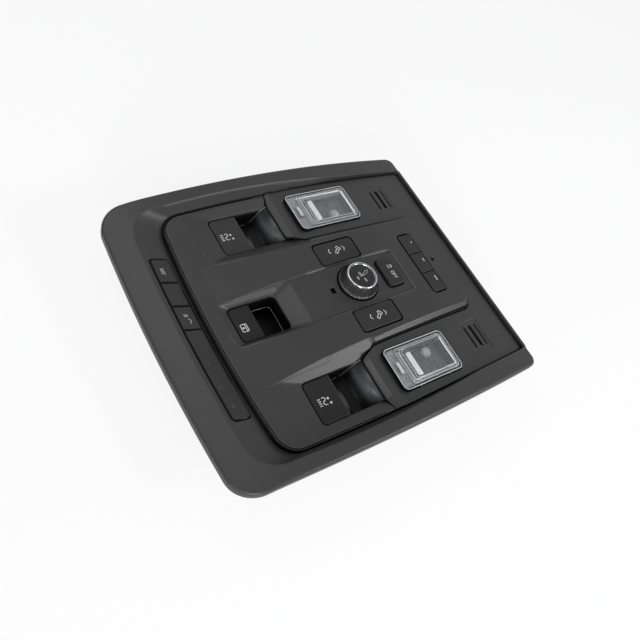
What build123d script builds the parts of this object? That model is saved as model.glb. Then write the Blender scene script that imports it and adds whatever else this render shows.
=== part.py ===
from build123d import *
import os
from math import cos, pi, radians, sin, tan

# The console lies face up. While it is drawn, x = 0 is near the knob, the front is at -x
# and z = 0 is near the face. export_all() moves everything to the middle of the back.

# Overall outline, seen from the face side
CONSOLE_LENGTH = 270.7
CONSOLE_WIDTH = 227.8
REAR_EDGE_X = 107.9
FRONT_EDGE_X = REAR_EDGE_X - CONSOLE_LENGTH
WIDEST_X = -38.0
SIDE_BOW_RADIUS = 2500.0
EDGE_BOW_RADIUS = 1500.0
FRONT_BOW_RADIUS = 860.0
CREST_SIDE_RADIUS = 1150.0
CREST_WIDEST_X = -60.0
FRONT_CORNER_RADIUS = 20.0
REAR_CORNER_RADIUS = 7.0

# Bows of the inner lines, the outer edge and the crest: front radius, side radius, widest place
INNER_BOW = (FRONT_BOW_RADIUS, SIDE_BOW_RADIUS, WIDEST_X)
EDGE_BOW = (EDGE_BOW_RADIUS, SIDE_BOW_RADIUS, WIDEST_X)
CREST_BOW = (FRONT_BOW_RADIUS, CREST_SIDE_RADIUS, CREST_WIDEST_X)

# Heights along the console: the ring, the inner face and the raised middle
RING_BEND_INSET = 37.8
RING_FRONT_BEND_X = FRONT_EDGE_X + RING_BEND_INSET
RING_BEND_Z = 6.1
RING_MIDDLE_Z = 5.6
RING_REAR_Z = -3.7
RING_FRONT_DROP = 11.0
FACE_RADIUS = 1920.0
FACE_CROWN_X = -45.0
PANEL_FRONT_Z = -2.3
PANEL_MIDDLE_Z = 3.9
PANEL_REAR_Z = 2.2
LAMP_PANEL_RISE = 1.0

# Walls and clearances
RIM_HEIGHT = 6.0
RIM_WALL = 2.4
RIM_ROUND = 1.9
RING_SKIN = 2.4
SKIN = 2.4
PANEL_GAP = 1.0
PANEL_ROUND = 0.8
LEDGE_Z = -9.0
LEDGE_THICKNESS = 2.2
LEDGE_WIDTH = 7.2
SEAT_GAP = 0.25
GUIDE_GAP = 0.7

# Funnel that slopes from the crest of the ring down to the inner panels
CREST_INSET = 9.9
FOOT_INSET = 17.7
FUNNEL_TOP_Z = 8.0
FUNNEL_BOTTOM_Z = -6.0
FUNNEL_WALL = 1.9
SKIRT_TOP_Z = -0.6
FRONT_SLOPE = 22.6
STRIP_INSET = 21.5
STRIP_FRONT_X = FRONT_EDGE_X + STRIP_INSET
STRIP_FRONT_Z = 2.1
CREST_RADIUS = 28.0
FOOT_RADIUS = 17.0
PARTING_INSET = 15.2
PANEL_INSET = 39.8
PANEL_FRONT_X = FRONT_EDGE_X + PANEL_INSET
PARTING_RADIUS = 17.0
REAR_LIP = 2.2
REAR_GAP = 0.4

# Control strip in the front slope
STRIP_LENGTH = 127.0
STRIP_WIDTH = 15.6
STRIP_RADIUS = 3.0
STRIP_BOW = 1.4
STRIP_FLANGE = 0.6
STRIP_PROUD = 0.3
STRIP_SPLITS = (43.7, 24.2, 5.2)
STRIP_BOARD_DEPTH = 9.0
STRIP_BOARD_WIDTH = 18.0
STRIP_TRAVEL = 1.0

# Places of the side wells, lamps and grilles, from the long edges inwards
SIDE_WELL_INSET = 26.2
SIDE_WELL_WIDTH = 32.8
SIDE_WELL_OUTER_Y = CONSOLE_WIDTH / 2 - SIDE_WELL_INSET
SIDE_WELL_INNER_Y = SIDE_WELL_OUTER_Y - SIDE_WELL_WIDTH
LENS_INSET = 40.85
LENS_CENTRE_Y = CONSOLE_WIDTH / 2 - LENS_INSET
GRILLE_INSET = 34.1
GRILLE_WIDTH = 19.3
GRILLE_OUTER_Y = CONSOLE_WIDTH / 2 - GRILLE_INSET
GRILLE_INNER_Y = GRILLE_OUTER_Y - GRILLE_WIDTH

# Raised middle between the lamp arms
TONGUE_REAR_X = 85.6
TONGUE_MARGIN = 4.1
TONGUE_TAPER = 3.5
TONGUE_FRONT_HALF = SIDE_WELL_INNER_Y - TONGUE_MARGIN
TONGUE_REAR_HALF = TONGUE_FRONT_HALF - TONGUE_TAPER
TONGUE_RADIUS = 9.0
FLANK_FRONT_X = -60.0
FLANK_ELBOW_X = -20.0
CHANNEL_HALF_WIDTH = 19.6
CHANNEL_FRONT_X = -64.0
CHANNEL_REAR_X = 41.0
CHANNEL_DEPTH = 0.9
CHANNEL_RADIUS = 5.0
FLANK_FOOT = (TONGUE_FRONT_HALF + 2.7, SIDE_WELL_INNER_Y, TONGUE_REAR_HALF + 1.2)
FLANK_FOOT_Z = -3.0
FLANK_TOP = (TONGUE_FRONT_HALF - 11.4, TONGUE_FRONT_HALF - 8.5, TONGUE_REAR_HALF - 7.8)
FLANK_TOP_Z = 6.0
FLANK_REAR_RUN = 6.2
CEILING_MARGIN = 5.8
CEILING_HALF_WIDTH = TONGUE_REAR_HALF - CEILING_MARGIN

# Side switches and their finger wells
ARM_FRONT_X = -32.7
ARM_CREST_X = -28.0
SIDE_WELL_FRONT_X = -84.0
SIDE_PADDLE_LENGTH = 22.0
SIDE_WELL_FLOOR_Z = -19.5
WELL_EDGE_Z = -3.9
WELL_RADIUS = 3.5
POCKET_TOP_Z = 4.0
INNER_RUN = 1.5
OUTER_RUN = 1.9
FRONT_RUN = 5.5

# Centre switch and its finger well
CENTRE_WELL_FRONT_X = -105.2
CENTRE_WELL_REAR_X = -66.0
CENTRE_WELL_HALF = 14.2
CENTRE_PADDLE_LENGTH = 16.8
CENTRE_WELL_FLOOR_Z = -21.0
CENTRE_EDGE_Z = -4.6
CENTRE_SIDE_RUN = 0.83
CENTRE_END_RUN = 2.1

# Switch modules and their paddles
MODULE_TOP_Z = -6.3
MODULE_WALL = 2.2
MODULE_PLATFORM_Z = -16.5
PADDLE_SIDE_GAP = 0.5
PADDLE_END_GAP = 0.9
PADDLE_PLATE = 3.6
PADDLE_ROUND = 0.9
HUB_DROP = 2.4
PLATFORM_MARGIN = 2.0
SCOOP_START_X = -52.0
SCOOP_MIDDLE = (-39.5, -12.5)
SCOOP_TOP_Z = -1.6
SCOOP_EDGE = 0.8
PADDLE_DROP = 0.3
PADDLE_PIVOT_Z = -10.6
PADDLE_PIN_RADIUS = 1.4
PADDLE_PIN_SHARE = 0.42
PIN_FIT = 0.06
PIN_REACH = 1.6

# Lamps
LENS_LENGTH = 57.5
LENS_WIDTH = 33.7
LENS_CENTRE_X = 10.95
LENS_CENTRE_Z = 1.9
LENS_TILT = 1.7
LENS_RADIUS = 4.0
LENS_RAISE = 1.2
LENS_FLANGE = 1.6
LENS_WALL = 1.4
LENS_FRONT_SLOPE = 10.5
LENS_SIDE_SLOPE = 3.6
LUG_PLACES = (-14.0, -10.8, 15.0)
LUG_SIZE = 0.6
LUG_PROUD = 0.35
LAMP_DEPTH = 17.0
LAMP_WALL = 1.6
LAMP_GAP = 0.5
LAMP_FLANGE_TOP = -8.2
LAMP_FLANGE_THICKNESS = 1.2
LAMP_FLANGE_WIDTH = 2.0
COLLAR_WALL = 2.0
REFLECTOR_TOP = -2.0
REFLECTOR_HEIGHT = 9.6
WINDOW_DEPTH = 5.0
WINDOW_MARGIN = 5.5
LIGHT_BAR_X = -7.85
LIGHT_BAR_LENGTH = 4.6
LIGHT_BAR_WIDTH = 19.3
DOME_X = 9.65
DOME_Y = -5.6
DOME_RADIUS = 4.3
DOME_SIDE = 1.4
DOME_RISE = 3.0

# Grilles over the microphones
GRILLE_SLOTS = ((64.4, 1.8), (70.4, 3.0), (75.9, 1.5))
GRILLE_RECESS_MARGIN = 3.6
GRILLE_RECESS_DEPTH = 0.4
BOOT_LENGTH = 16.6
BOOT_WIDTH = 21.6
BOOT_HEIGHT = 4.0
BOOT_GAP = 0.25
BOOT_FRAME = 1.3
MICROPHONE_RADIUS = 3.4
MICROPHONE_HEIGHT = 2.6
REAR_NOTCHES = ((33.0, 72.0), (-19.0, 12.0), (-78.0, -27.0))
REAR_NOTCH_DEPTH = 1.1

# Push buttons
LAMP_BUTTON_X = -3.7
LAMP_BUTTON_Y = 30.2
LAMP_BUTTON_LENGTH = 35.2
LAMP_BUTTON_WIDTH = 18.0
DOOR_BUTTON_X = 28.4
DOOR_BUTTON_LENGTH = 14.0
DOOR_BUTTON_WIDTH = 24.0
HOME_X = 62.0
HOME_LENGTH = 13.0
HOME_WIDTH = 56.2
HOME_COUNT = 3
BUTTON_RADIUS = 2.6
BUTTON_PROUD = 0.5
DOOR_BUTTON_PROUD = 1.5
BUTTON_ROUND = 0.6
BUTTON_TRAVEL = 1.2
FLANGE_THICKNESS = 1.2
FLANGE_WIDTH = 1.4
STEM_RADIUS = 2.0

# Knob
KNOB_X = -2.4
KNOB_BASE_RADIUS = 15.5
KNOB_WAIST_RADIUS = 12.6
KNOB_RING_RADIUS = 11.8
KNOB_RING_WIDTH = 1.9
KNOB_RING_HEIGHT = 1.5
KNOB_RING_ROUND = 0.6
KNOB_HEIGHT = 9.4
KNOB_FLARE_HEIGHT = 2.2
KNOB_LIFT = 0.4
KNOB_RIBS = 44
SHAFT_RADIUS = 3.0
SHAFT_FIT = 0.08
SHAFT_BOTTOM_Z = -8.6

# Light sensor hole
SENSOR_X = -24.8
SENSOR_LENGTH = 4.0
SENSOR_WIDTH = 5.0

# Boards and the housing behind the face
BOARD_THICKNESS = 1.6
BOARD_TOP_Z = -10.8
BOARD_FRONT_X = -44.0
BOARD_REAR_X = 80.0
BOARD_HALF_WIDTH = 42.0
SWITCH_HEIGHT = 4.2
SWITCH_SIZE = 6.0
SWITCH_GAP = 0.15
HOUSING_BOTTOM_Z = -38.0
HOUSING_WALL = 2.2
HOUSING_FRONT_X = PANEL_FRONT_X + 10.0
HOUSING_REAR_X = REAR_EDGE_X - 12.9
HOUSING_INSET = 19.8
HOUSING_RADIUS = 14.0
HOUSING_FLANGE = 7.0
HOUSING_SCREW_FRONT_X = -60.0
HOUSING_SCREW_REAR_X = 55.0
HOUSING_SCREW_INSET = 16.4
RIB_HEIGHT = 1.4
RIB_WIDTH = 1.6
RIB_COUNT = 5
CONNECTOR_WIDTH = 26.0
CONNECTOR_HEIGHT = 9.0
CONNECTOR_LENGTH = 22.0
CONNECTOR_WALL = 1.4
CONNECTOR_PINS = 8
CONNECTOR_DEPTH = 12.0
CONNECTOR_PROUD = 0.8
PIN_LENGTH = 5.5
PIN_SIZE = 0.7
SCREW_RADIUS = 1.5
SCREW_HEAD_RADIUS = 3.0
SCREW_HEAD_HEIGHT = 1.9
BOARD_SCREW_LENGTH = 7.0
HOUSING_SCREW_BITE = 1.8
BOSS_RADIUS = 3.6
MOUNT_HOLE_RADIUS = 2.75
MOUNT_BOSS_RADIUS = 5.5
MOUNT_BOSS_HEIGHT = 6.0
MOUNT_FRONT_X = -98.0
MOUNT_REAR_X = 82.0
MOUNT_HALF_WIDTH = 62.0
CLIP_PLACES = (-96.0, -6.0, 78.0)
CLIP_INSET = 7.8
CLIP_WIDTH = 11.0
TOWER_THICKNESS = 3.2
TOWER_BOTTOM_Z = -15.0
CLIP_SHEET = 0.6
CLIP_TOP_Z = -5.6
CLIP_BARB_Z = (-8.0, -10.0, -13.0)
CLIP_BARB = 1.3

BIG = 150.0
LEFT = 1
RIGHT = -1
SIDES = {"left": LEFT, "right": RIGHT}


def half_width(x, inset, bows=INNER_BOW):
    """Half the width of the console at x, less an inset."""
    return CONSOLE_WIDTH / 2 - (x - bows[2]) ** 2 / (2 * bows[1]) - inset


def outline(inset, front, rear, front_radius, rear_radius, bows=INNER_BOW):
    """Plan shape with bowed front and sides and four round corners."""
    corner_x = front + half_width(front, inset, bows) ** 2 / (2 * bows[0])
    corner_y = half_width(corner_x, inset, bows)
    middle_x = (corner_x + rear) / 2
    middle_y = half_width(middle_x, inset, bows)
    rear_y = half_width(rear, inset, bows)
    front_arc = ThreePointArc((corner_x, -corner_y), (front, 0), (corner_x, corner_y))
    left_arc = ThreePointArc((corner_x, corner_y), (middle_x, middle_y), (rear, rear_y))
    rear_line = Line((rear, rear_y), (rear, -rear_y))
    right_arc = ThreePointArc((rear, -rear_y), (middle_x, -middle_y), (corner_x, -corner_y))
    shape = make_face([front_arc, left_arc, rear_line, right_arc])
    shape = fillet(shape.vertices().group_by(Axis.X)[0], front_radius)
    return fillet(shape.vertices().group_by(Axis.X)[-1], rear_radius)


def rounded(x_low, x_high, y_one, y_two, radius):
    """Rectangle with round corners between four edges."""
    centre = Pos((x_low + x_high) / 2, (y_one + y_two) / 2)
    return centre * RectangleRounded(x_high - x_low, abs(y_two - y_one), radius)


def block(x_low, x_high, y_one, y_two, z_low, z_high):
    """Box between six faces."""
    centre = Pos((x_low + x_high) / 2, (y_one + y_two) / 2, (z_low + z_high) / 2)
    return centre * Box(x_high - x_low, abs(y_two - y_one), z_high - z_low)


def prism(shape, z_low, z_high):
    """Plan shape raised between two heights."""
    return Pos(0, 0, z_low) * extrude(shape, z_high - z_low)


def post(x, y, radius, z_low, z_high):
    """Upright cylinder between two heights."""
    return Pos(x, y, (z_low + z_high) / 2) * Cylinder(radius, z_high - z_low)


def under(top_edges, lift=0.0):
    """Everything below a long curve in the xz plane, moved up by lift."""
    start = top_edges[0] @ 0
    end = top_edges[-1] @ 1
    sides = Polyline((end.X, end.Y), (end.X, -BIG), (start.X, -BIG), (start.X, start.Y))
    profile = make_face([*top_edges, *sides.edges()])
    return Pos(0, 0, lift) * extrude(Plane.XZ * profile, BIG, both=True)


def ring_profile():
    """Curve along the top of the ring, with its tighter bend at the front."""
    rear_x = REAR_EDGE_X + 10
    front_x = FRONT_EDGE_X - 10
    main = ThreePointArc((rear_x, RING_REAR_Z), (0, RING_MIDDLE_Z), (RING_FRONT_BEND_X, RING_BEND_Z))
    drop = (front_x, RING_BEND_Z - RING_FRONT_DROP)
    return [main, TangentArc(main @ 1, drop, tangent=main % 1)]


def face_z(x):
    """Height of the gently arched inner face at x."""
    return -((x - FACE_CROWN_X) ** 2) / (2 * FACE_RADIUS)


def face_profile():
    """Curve along the inner face."""
    front_x = FRONT_EDGE_X - 10
    rear_x = REAR_EDGE_X + 10
    return [ThreePointArc((front_x, face_z(front_x)), (FACE_CROWN_X, 0), (rear_x, face_z(rear_x)))]


def panel_z(x):
    """Height of the raised middle at x, on a parabola through three driving points."""
    front = (PANEL_FRONT_Z - PANEL_MIDDLE_Z) / PANEL_FRONT_X
    rear = (PANEL_REAR_Z - PANEL_MIDDLE_Z) / TONGUE_REAR_X
    bend = (rear - front) / (TONGUE_REAR_X - PANEL_FRONT_X)
    return PANEL_MIDDLE_Z + (front - bend * PANEL_FRONT_X) * x + bend * x * x


def panel_profile():
    """Curve along the raised middle."""
    front_x = FRONT_EDGE_X
    rear_x = TONGUE_REAR_X + 10
    return [ThreePointArc((front_x, panel_z(front_x)), (-30, panel_z(-30)), (rear_x, panel_z(rear_x)))]


def edges_round_top(solid, steepness=0.6):
    """Edges of the upward faces that aren't shared by two of them."""
    faces = [face for face in solid.faces() if face.normal_at().Z > steepness]
    found = {}
    for face in faces:
        for edge in face.edges():
            key = tuple(round(value, 2) for value in edge.center())
            found.setdefault(key, []).append(edge)
    return ShapeList([edges[0] for edges in found.values() if len(edges) == 1])


def funnel(outward):
    """Tapered space inside the ring, wider at the top, grown by a wall."""
    run = 1 / tan(radians(FRONT_SLOPE))
    wall_shift = outward / sin(radians(FRONT_SLOPE))
    top_front = STRIP_FRONT_X - (FUNNEL_TOP_Z - STRIP_FRONT_Z) * run - wall_shift
    bottom_front = STRIP_FRONT_X + (STRIP_FRONT_Z - FUNNEL_BOTTOM_Z) * run - wall_shift
    rear = REAR_EDGE_X - REAR_LIP + outward
    top = outline(CREST_INSET - outward, top_front, rear, CREST_RADIUS, 3.0, CREST_BOW)
    bottom = outline(FOOT_INSET - outward, bottom_front, rear, FOOT_RADIUS, 3.0)
    return loft([Pos(0, 0, FUNNEL_BOTTOM_Z) * bottom, Pos(0, 0, FUNNEL_TOP_Z) * top], ruled=True)


def slope_plane():
    """Plane on the front slope in the middle of the control strip, with x along the strip."""
    angle = radians(FRONT_SLOPE)
    middle_x = STRIP_FRONT_X + STRIP_WIDTH / 2 * cos(angle)
    middle_z = STRIP_FRONT_Z - STRIP_WIDTH / 2 * sin(angle)
    return Plane(origin=(middle_x, 0, middle_z), x_dir=(0, 1, 0), z_dir=(sin(angle), 0, cos(angle)))


def strip_plan(gap=0.0):
    """Plan of the control strip in its own plane, bowed like the front edge."""
    half = STRIP_LENGTH / 2 - gap
    low = gap - STRIP_WIDTH / 2
    high = STRIP_WIDTH / 2 - gap
    rear = ThreePointArc((-half, low - STRIP_BOW), (0, low), (half, low - STRIP_BOW))
    front = ThreePointArc((half, high - STRIP_BOW), (0, high), (-half, high - STRIP_BOW))
    shape = make_face([rear, Line(rear @ 1, front @ 0), front, Line(front @ 1, rear @ 0)])
    return fillet(shape.vertices(), STRIP_RADIUS - gap)


def clip_y(x, side):
    """Place of a clip tower across the console."""
    return side * half_width(x, CLIP_INSET)


def housing_outline(grow=0.0):
    """Plan of the housing behind the face."""
    return outline(
        HOUSING_INSET - grow, HOUSING_FRONT_X - grow, HOUSING_REAR_X + grow,
        HOUSING_RADIUS + grow, HOUSING_RADIUS + grow,
    )


def housing_screw_places():
    """Where the housing is screwed to the ledge of the ring."""
    places = []
    for x in (HOUSING_SCREW_FRONT_X, HOUSING_SCREW_REAR_X):
        for side in (LEFT, RIGHT):
            places.append((x, side * half_width(x, HOUSING_SCREW_INSET)))
    return places


def bezel():
    """Outer ring: rim, banded top, sloping inner wall, ledge and clip towers."""
    shape = outline(0, FRONT_EDGE_X, REAR_EDGE_X, FRONT_CORNER_RADIUS, REAR_CORNER_RADIUS, EDGE_BOW)
    ring = prism(shape, -40, 20) & under(ring_profile())
    ring = ring - under(ring_profile(), -RIM_HEIGHT)
    ring = fillet(edges_round_top(ring), RIM_ROUND)
    inner = outline(
        RIM_WALL, FRONT_EDGE_X + RIM_WALL, REAR_EDGE_X - RIM_WALL,
        FRONT_CORNER_RADIUS - RIM_WALL, REAR_CORNER_RADIUS - RIM_WALL, EDGE_BOW,
    )
    ring = ring - (prism(inner, -40, 20) & under(ring_profile(), -RING_SKIN))
    skirt = outline(
        PARTING_INSET - FUNNEL_WALL, PANEL_FRONT_X - PANEL_GAP - FUNNEL_WALL - 1, REAR_EDGE_X,
        PARTING_RADIUS + FUNNEL_WALL, 4.0,
    )
    wall = funnel(FUNNEL_WALL) + prism(skirt, LEDGE_Z - LEDGE_THICKNESS, SKIRT_TOP_Z)
    solid = ring + (wall & under(ring_profile()))
    solid = solid - funnel(0)
    rear_wall = REAR_EDGE_X - REAR_LIP
    pocket = outline(PARTING_INSET, PANEL_FRONT_X - PANEL_GAP, rear_wall, PARTING_RADIUS, 3.0)
    solid = solid - prism(pocket, LEDGE_Z, 20)
    hole = outline(
        PARTING_INSET + LEDGE_WIDTH, PANEL_FRONT_X + LEDGE_WIDTH, rear_wall - LEDGE_WIDTH, 12.0, 8.0,
    )
    solid = solid - prism(hole, -40, 20)
    solid = solid - slope_plane() * Pos(0, 0, -12) * extrude(strip_plan(), 24)
    for side in (LEFT, RIGHT):
        for x in CLIP_PLACES:
            y = clip_y(x, side)
            tower = block(
                x - CLIP_WIDTH / 2, x + CLIP_WIDTH / 2,
                y - TOWER_THICKNESS / 2, y + TOWER_THICKNESS / 2, TOWER_BOTTOM_Z, 10,
            )
            solid = solid + (tower & under(ring_profile(), -RING_SKIN / 2))
    for x, y in housing_screw_places():
        solid = solid - post(x, y, SCREW_RADIUS - 0.2, LEDGE_Z - LEDGE_THICKNESS - 1, LEDGE_Z + 1)
    return solid


def inner_outline():
    """Plan of the inner panels together, a gap inside the ring."""
    return outline(
        PARTING_INSET + PANEL_GAP, PANEL_FRONT_X, REAR_EDGE_X - REAR_LIP - REAR_GAP,
        PARTING_RADIUS - PANEL_GAP, 3.0,
    )


def lamp_shape():
    """Plan of the U-shaped lamp panel with its two arms."""
    far_x = REAR_EDGE_X + 20
    arm = make_face(Polyline(
        (ARM_FRONT_X + 12.7, 0), (ARM_FRONT_X + 12.7, TONGUE_FRONT_HALF - 0.6),
        (ARM_FRONT_X, SIDE_WELL_INNER_Y + 1.2), (ARM_FRONT_X, SIDE_WELL_OUTER_Y - 1.2),
        (ARM_FRONT_X + 12.0, BIG), (far_x, BIG), (far_x, 0), close=True,
    ))
    arm = fillet(arm.vertices().group_by(Axis.X)[0], 4.0)
    tongue = make_face(Polyline(
        (ARM_FRONT_X - 30, TONGUE_FRONT_HALF), (ARM_FRONT_X - 30, -TONGUE_FRONT_HALF),
        (TONGUE_REAR_X, -TONGUE_REAR_HALF), (TONGUE_REAR_X, TONGUE_REAR_HALF), close=True,
    ))
    tongue = fillet(tongue.vertices().group_by(Axis.X)[-1], TONGUE_RADIUS)
    arms = arm + mirror(arm, Plane.XZ)
    return (inner_outline() & arms) - tongue


def flank_section(halves, rear_x, radius):
    """Section of the raised middle at one height."""
    front_half, elbow_half, rear_half = halves
    shape = make_face(Polyline(
        (FRONT_EDGE_X, -front_half), (FLANK_FRONT_X, -front_half), (FLANK_ELBOW_X, -elbow_half),
        (rear_x, -rear_half), (rear_x, rear_half), (FLANK_ELBOW_X, elbow_half),
        (FLANK_FRONT_X, front_half), (FRONT_EDGE_X, front_half), close=True,
    ))
    return fillet(shape.vertices().group_by(Axis.X)[-1], radius)


def flanks():
    """Block with sloping sides that limits the raised middle."""
    bottom = flank_section(FLANK_FOOT, TONGUE_REAR_X + 0.1, TONGUE_RADIUS + 0.5)
    top = flank_section(FLANK_TOP, TONGUE_REAR_X - FLANK_REAR_RUN, TONGUE_RADIUS - 1.0)
    return loft([Pos(0, 0, FLANK_FOOT_Z) * bottom, Pos(0, 0, FLANK_TOP_Z) * top], ruled=True)


def side_pocket(side):
    """Dished space round a side switch, narrowing down to its opening."""
    rise = POCKET_TOP_Z - WELL_EDGE_Z
    rear = ARM_FRONT_X + 20
    low = rounded(
        SIDE_WELL_FRONT_X, rear, side * SIDE_WELL_INNER_Y, side * SIDE_WELL_OUTER_Y, WELL_RADIUS,
    )
    high = rounded(
        SIDE_WELL_FRONT_X - FRONT_RUN * rise, rear, side * (SIDE_WELL_INNER_Y - INNER_RUN * rise),
        side * (SIDE_WELL_OUTER_Y + OUTER_RUN * rise), WELL_RADIUS + 8,
    )
    return loft([Pos(0, 0, WELL_EDGE_Z) * low, Pos(0, 0, POCKET_TOP_Z) * high], ruled=True)


def centre_pocket():
    """Dished space round the centre switch."""
    rise = POCKET_TOP_Z - CENTRE_EDGE_Z
    low = rounded(
        CENTRE_WELL_FRONT_X, CENTRE_WELL_REAR_X, -CENTRE_WELL_HALF, CENTRE_WELL_HALF, WELL_RADIUS,
    )
    half = CENTRE_WELL_HALF + CENTRE_SIDE_RUN * rise
    end = CENTRE_END_RUN * rise
    high = rounded(CENTRE_WELL_FRONT_X - end, CENTRE_WELL_REAR_X + end, -half, half, WELL_RADIUS + 2)
    return loft([Pos(0, 0, CENTRE_EDGE_Z) * low, Pos(0, 0, POCKET_TOP_Z) * high], ruled=True)


def side_opening(side, gap=0.0):
    """Plan of the hole over a side switch module."""
    return rounded(
        SIDE_WELL_FRONT_X + gap, ARM_FRONT_X + 6, side * (SIDE_WELL_INNER_Y + gap),
        side * (SIDE_WELL_OUTER_Y - gap), WELL_RADIUS,
    )


def centre_opening(gap=0.0):
    """Plan of the hole over the centre switch module."""
    half = CENTRE_WELL_HALF - gap
    return rounded(CENTRE_WELL_FRONT_X + gap, CENTRE_WELL_REAR_X - gap, -half, half, WELL_RADIUS)


def lamp_button_plan(side, gap=0.0):
    centre = Pos(LAMP_BUTTON_X, side * LAMP_BUTTON_Y)
    return centre * RectangleRounded(LAMP_BUTTON_LENGTH + 2 * gap, LAMP_BUTTON_WIDTH + 2 * gap, BUTTON_RADIUS)


def door_button_plan(gap=0.0):
    centre = Pos(DOOR_BUTTON_X, 0)
    return centre * RectangleRounded(DOOR_BUTTON_LENGTH + 2 * gap, DOOR_BUTTON_WIDTH + 2 * gap, BUTTON_RADIUS)


def home_plan(gap=0.0):
    return Pos(HOME_X, 0) * RectangleRounded(HOME_LENGTH + 2 * gap, HOME_WIDTH + 2 * gap, BUTTON_RADIUS)


def board_screw_places():
    """Where the main board is screwed to the centre panel."""
    x_front = BOARD_FRONT_X + 5
    x_rear = BOARD_REAR_X - 5
    y = BOARD_HALF_WIDTH - 5.5
    return [(x_front, -y), (x_front, y), (x_rear, -y), (x_rear, y)]


def ceiling():
    """Space under the skin of the raised middle, behind the switches."""
    room = rounded(BOARD_FRONT_X - 2, TONGUE_REAR_X - 5, -CEILING_HALF_WIDTH, CEILING_HALF_WIDTH, 5.0)
    return prism(room, MODULE_TOP_Z - 6, 20) & under(panel_profile(), -SKIN - CHANNEL_DEPTH)


def centre_panel():
    """Raised centre panel with its dished switch pockets, channel and button holes."""
    gap_shape = offset(lamp_shape(), PANEL_GAP, kind=Kind.INTERSECTION)
    shape = inner_outline() - gap_shape
    solid = prism(shape, LEDGE_Z, 20) & (under(face_profile()) + (under(panel_profile()) & flanks()))
    solid = fillet(parting_edges(solid, PANEL_FRONT_X), PANEL_ROUND)
    channel = rounded(
        CHANNEL_FRONT_X, CHANNEL_REAR_X, -CHANNEL_HALF_WIDTH, CHANNEL_HALF_WIDTH, CHANNEL_RADIUS,
    )
    solid = solid - (prism(channel, -5, 20) - under(panel_profile(), -CHANNEL_DEPTH))
    solid = solid - centre_pocket() - prism(centre_opening(), -40, 20)
    for side in (LEFT, RIGHT):
        solid = solid - side_pocket(side) - prism(side_opening(side), -40, 20)
        solid = solid - prism(lamp_button_plan(side, GUIDE_GAP), -40, 20)
    solid = solid - prism(door_button_plan(GUIDE_GAP), -40, 20) - prism(home_plan(GUIDE_GAP), -40, 20)
    solid = solid - post(KNOB_X, 0, SHAFT_RADIUS + 3, -40, 20)
    solid = solid - block(
        SENSOR_X - SENSOR_LENGTH / 2, SENSOR_X + SENSOR_LENGTH / 2,
        -SENSOR_WIDTH / 2, SENSOR_WIDTH / 2, -40, 20,
    )
    within = outline(
        PARTING_INSET + PANEL_GAP + SKIN, PANEL_FRONT_X + SKIN, REAR_EDGE_X, PARTING_RADIUS - SKIN, 3.0,
    )
    room = within - offset(lamp_shape(), PANEL_GAP + SKIN, kind=Kind.INTERSECTION)
    room = room - Pos(REAR_EDGE_X, 0) * Rectangle(2 * (REAR_EDGE_X - TONGUE_REAR_X + SKIN), 2 * BIG)
    solid = solid - prism(room, -40, MODULE_TOP_Z) - ceiling()
    grow = MODULE_WALL + SEAT_GAP
    for side in (LEFT, RIGHT):
        solid = solid - block(
            SIDE_WELL_FRONT_X - grow, ARM_FRONT_X, side * (SIDE_WELL_INNER_Y - grow),
            side * (SIDE_WELL_OUTER_Y + grow), -40, MODULE_TOP_Z,
        )
    for x, y in board_screw_places():
        solid = solid + post(x, y, BOSS_RADIUS, BOARD_TOP_Z, panel_z(x) - 1.5)
    for x, y in board_screw_places():
        solid = solid - post(x, y, SCREW_RADIUS - 0.2, BOARD_TOP_Z - 1, BOARD_TOP_Z + 7)
    return solid


def parting_edges(solid, front_x):
    """Top edges of a panel that run along the ring."""
    chosen = []
    for edge in edges_round_top(solid):
        middle = edge @ 0.5
        on_side = abs(abs(middle.Y) - half_width(middle.X, PARTING_INSET + PANEL_GAP)) < 0.6
        at_front = middle.X < front_x + 22
        if on_side or at_front:
            chosen.append(edge)
    return ShapeList(chosen)


def lamp_frame(side):
    """Place and tilt of one lamp, at the middle of the lens seat."""
    return Pos(LENS_CENTRE_X, side * LENS_CENTRE_Y, LENS_CENTRE_Z) * Rot(0, LENS_TILT, 0)


def lens_plan(grow=0.0):
    """Plan of the lens, grown by a clearance or a wall."""
    return RectangleRounded(LENS_LENGTH + 2 * grow, LENS_WIDTH + 2 * grow, LENS_RADIUS + max(grow, -1.5))


def grille_centre():
    """Middle of the left grille."""
    front = GRILLE_SLOTS[0][0]
    rear = GRILLE_SLOTS[-1][0]
    return (front + rear) / 2, (GRILLE_INNER_Y + GRILLE_OUTER_Y) / 2


def arm_front_cut():
    """Wedge that gives the lamp arms their front chamfer and the dip before the lens."""
    lens_front = LENS_CENTRE_X - LENS_LENGTH / 2
    profile = make_face(Polyline(
        (ARM_FRONT_X - 8, -6.7), (ARM_FRONT_X, -1.9), (ARM_CREST_X, face_z(ARM_CREST_X) + LAMP_PANEL_RISE),
        (lens_front - 1.2, -0.2), (lens_front + 12, face_z(lens_front + 12) + LAMP_PANEL_RISE),
        (lens_front + 12, 8), (ARM_FRONT_X - 8, 8), close=True,
    ))
    return extrude(Plane.XZ * profile, BIG, both=True)


def microphone_seat_z():
    """Underside of the lamp panel over the microphone, at its lowest."""
    x = grille_centre()[0] + BOOT_LENGTH / 2
    return face_z(x) + LAMP_PANEL_RISE - SKIN


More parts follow.
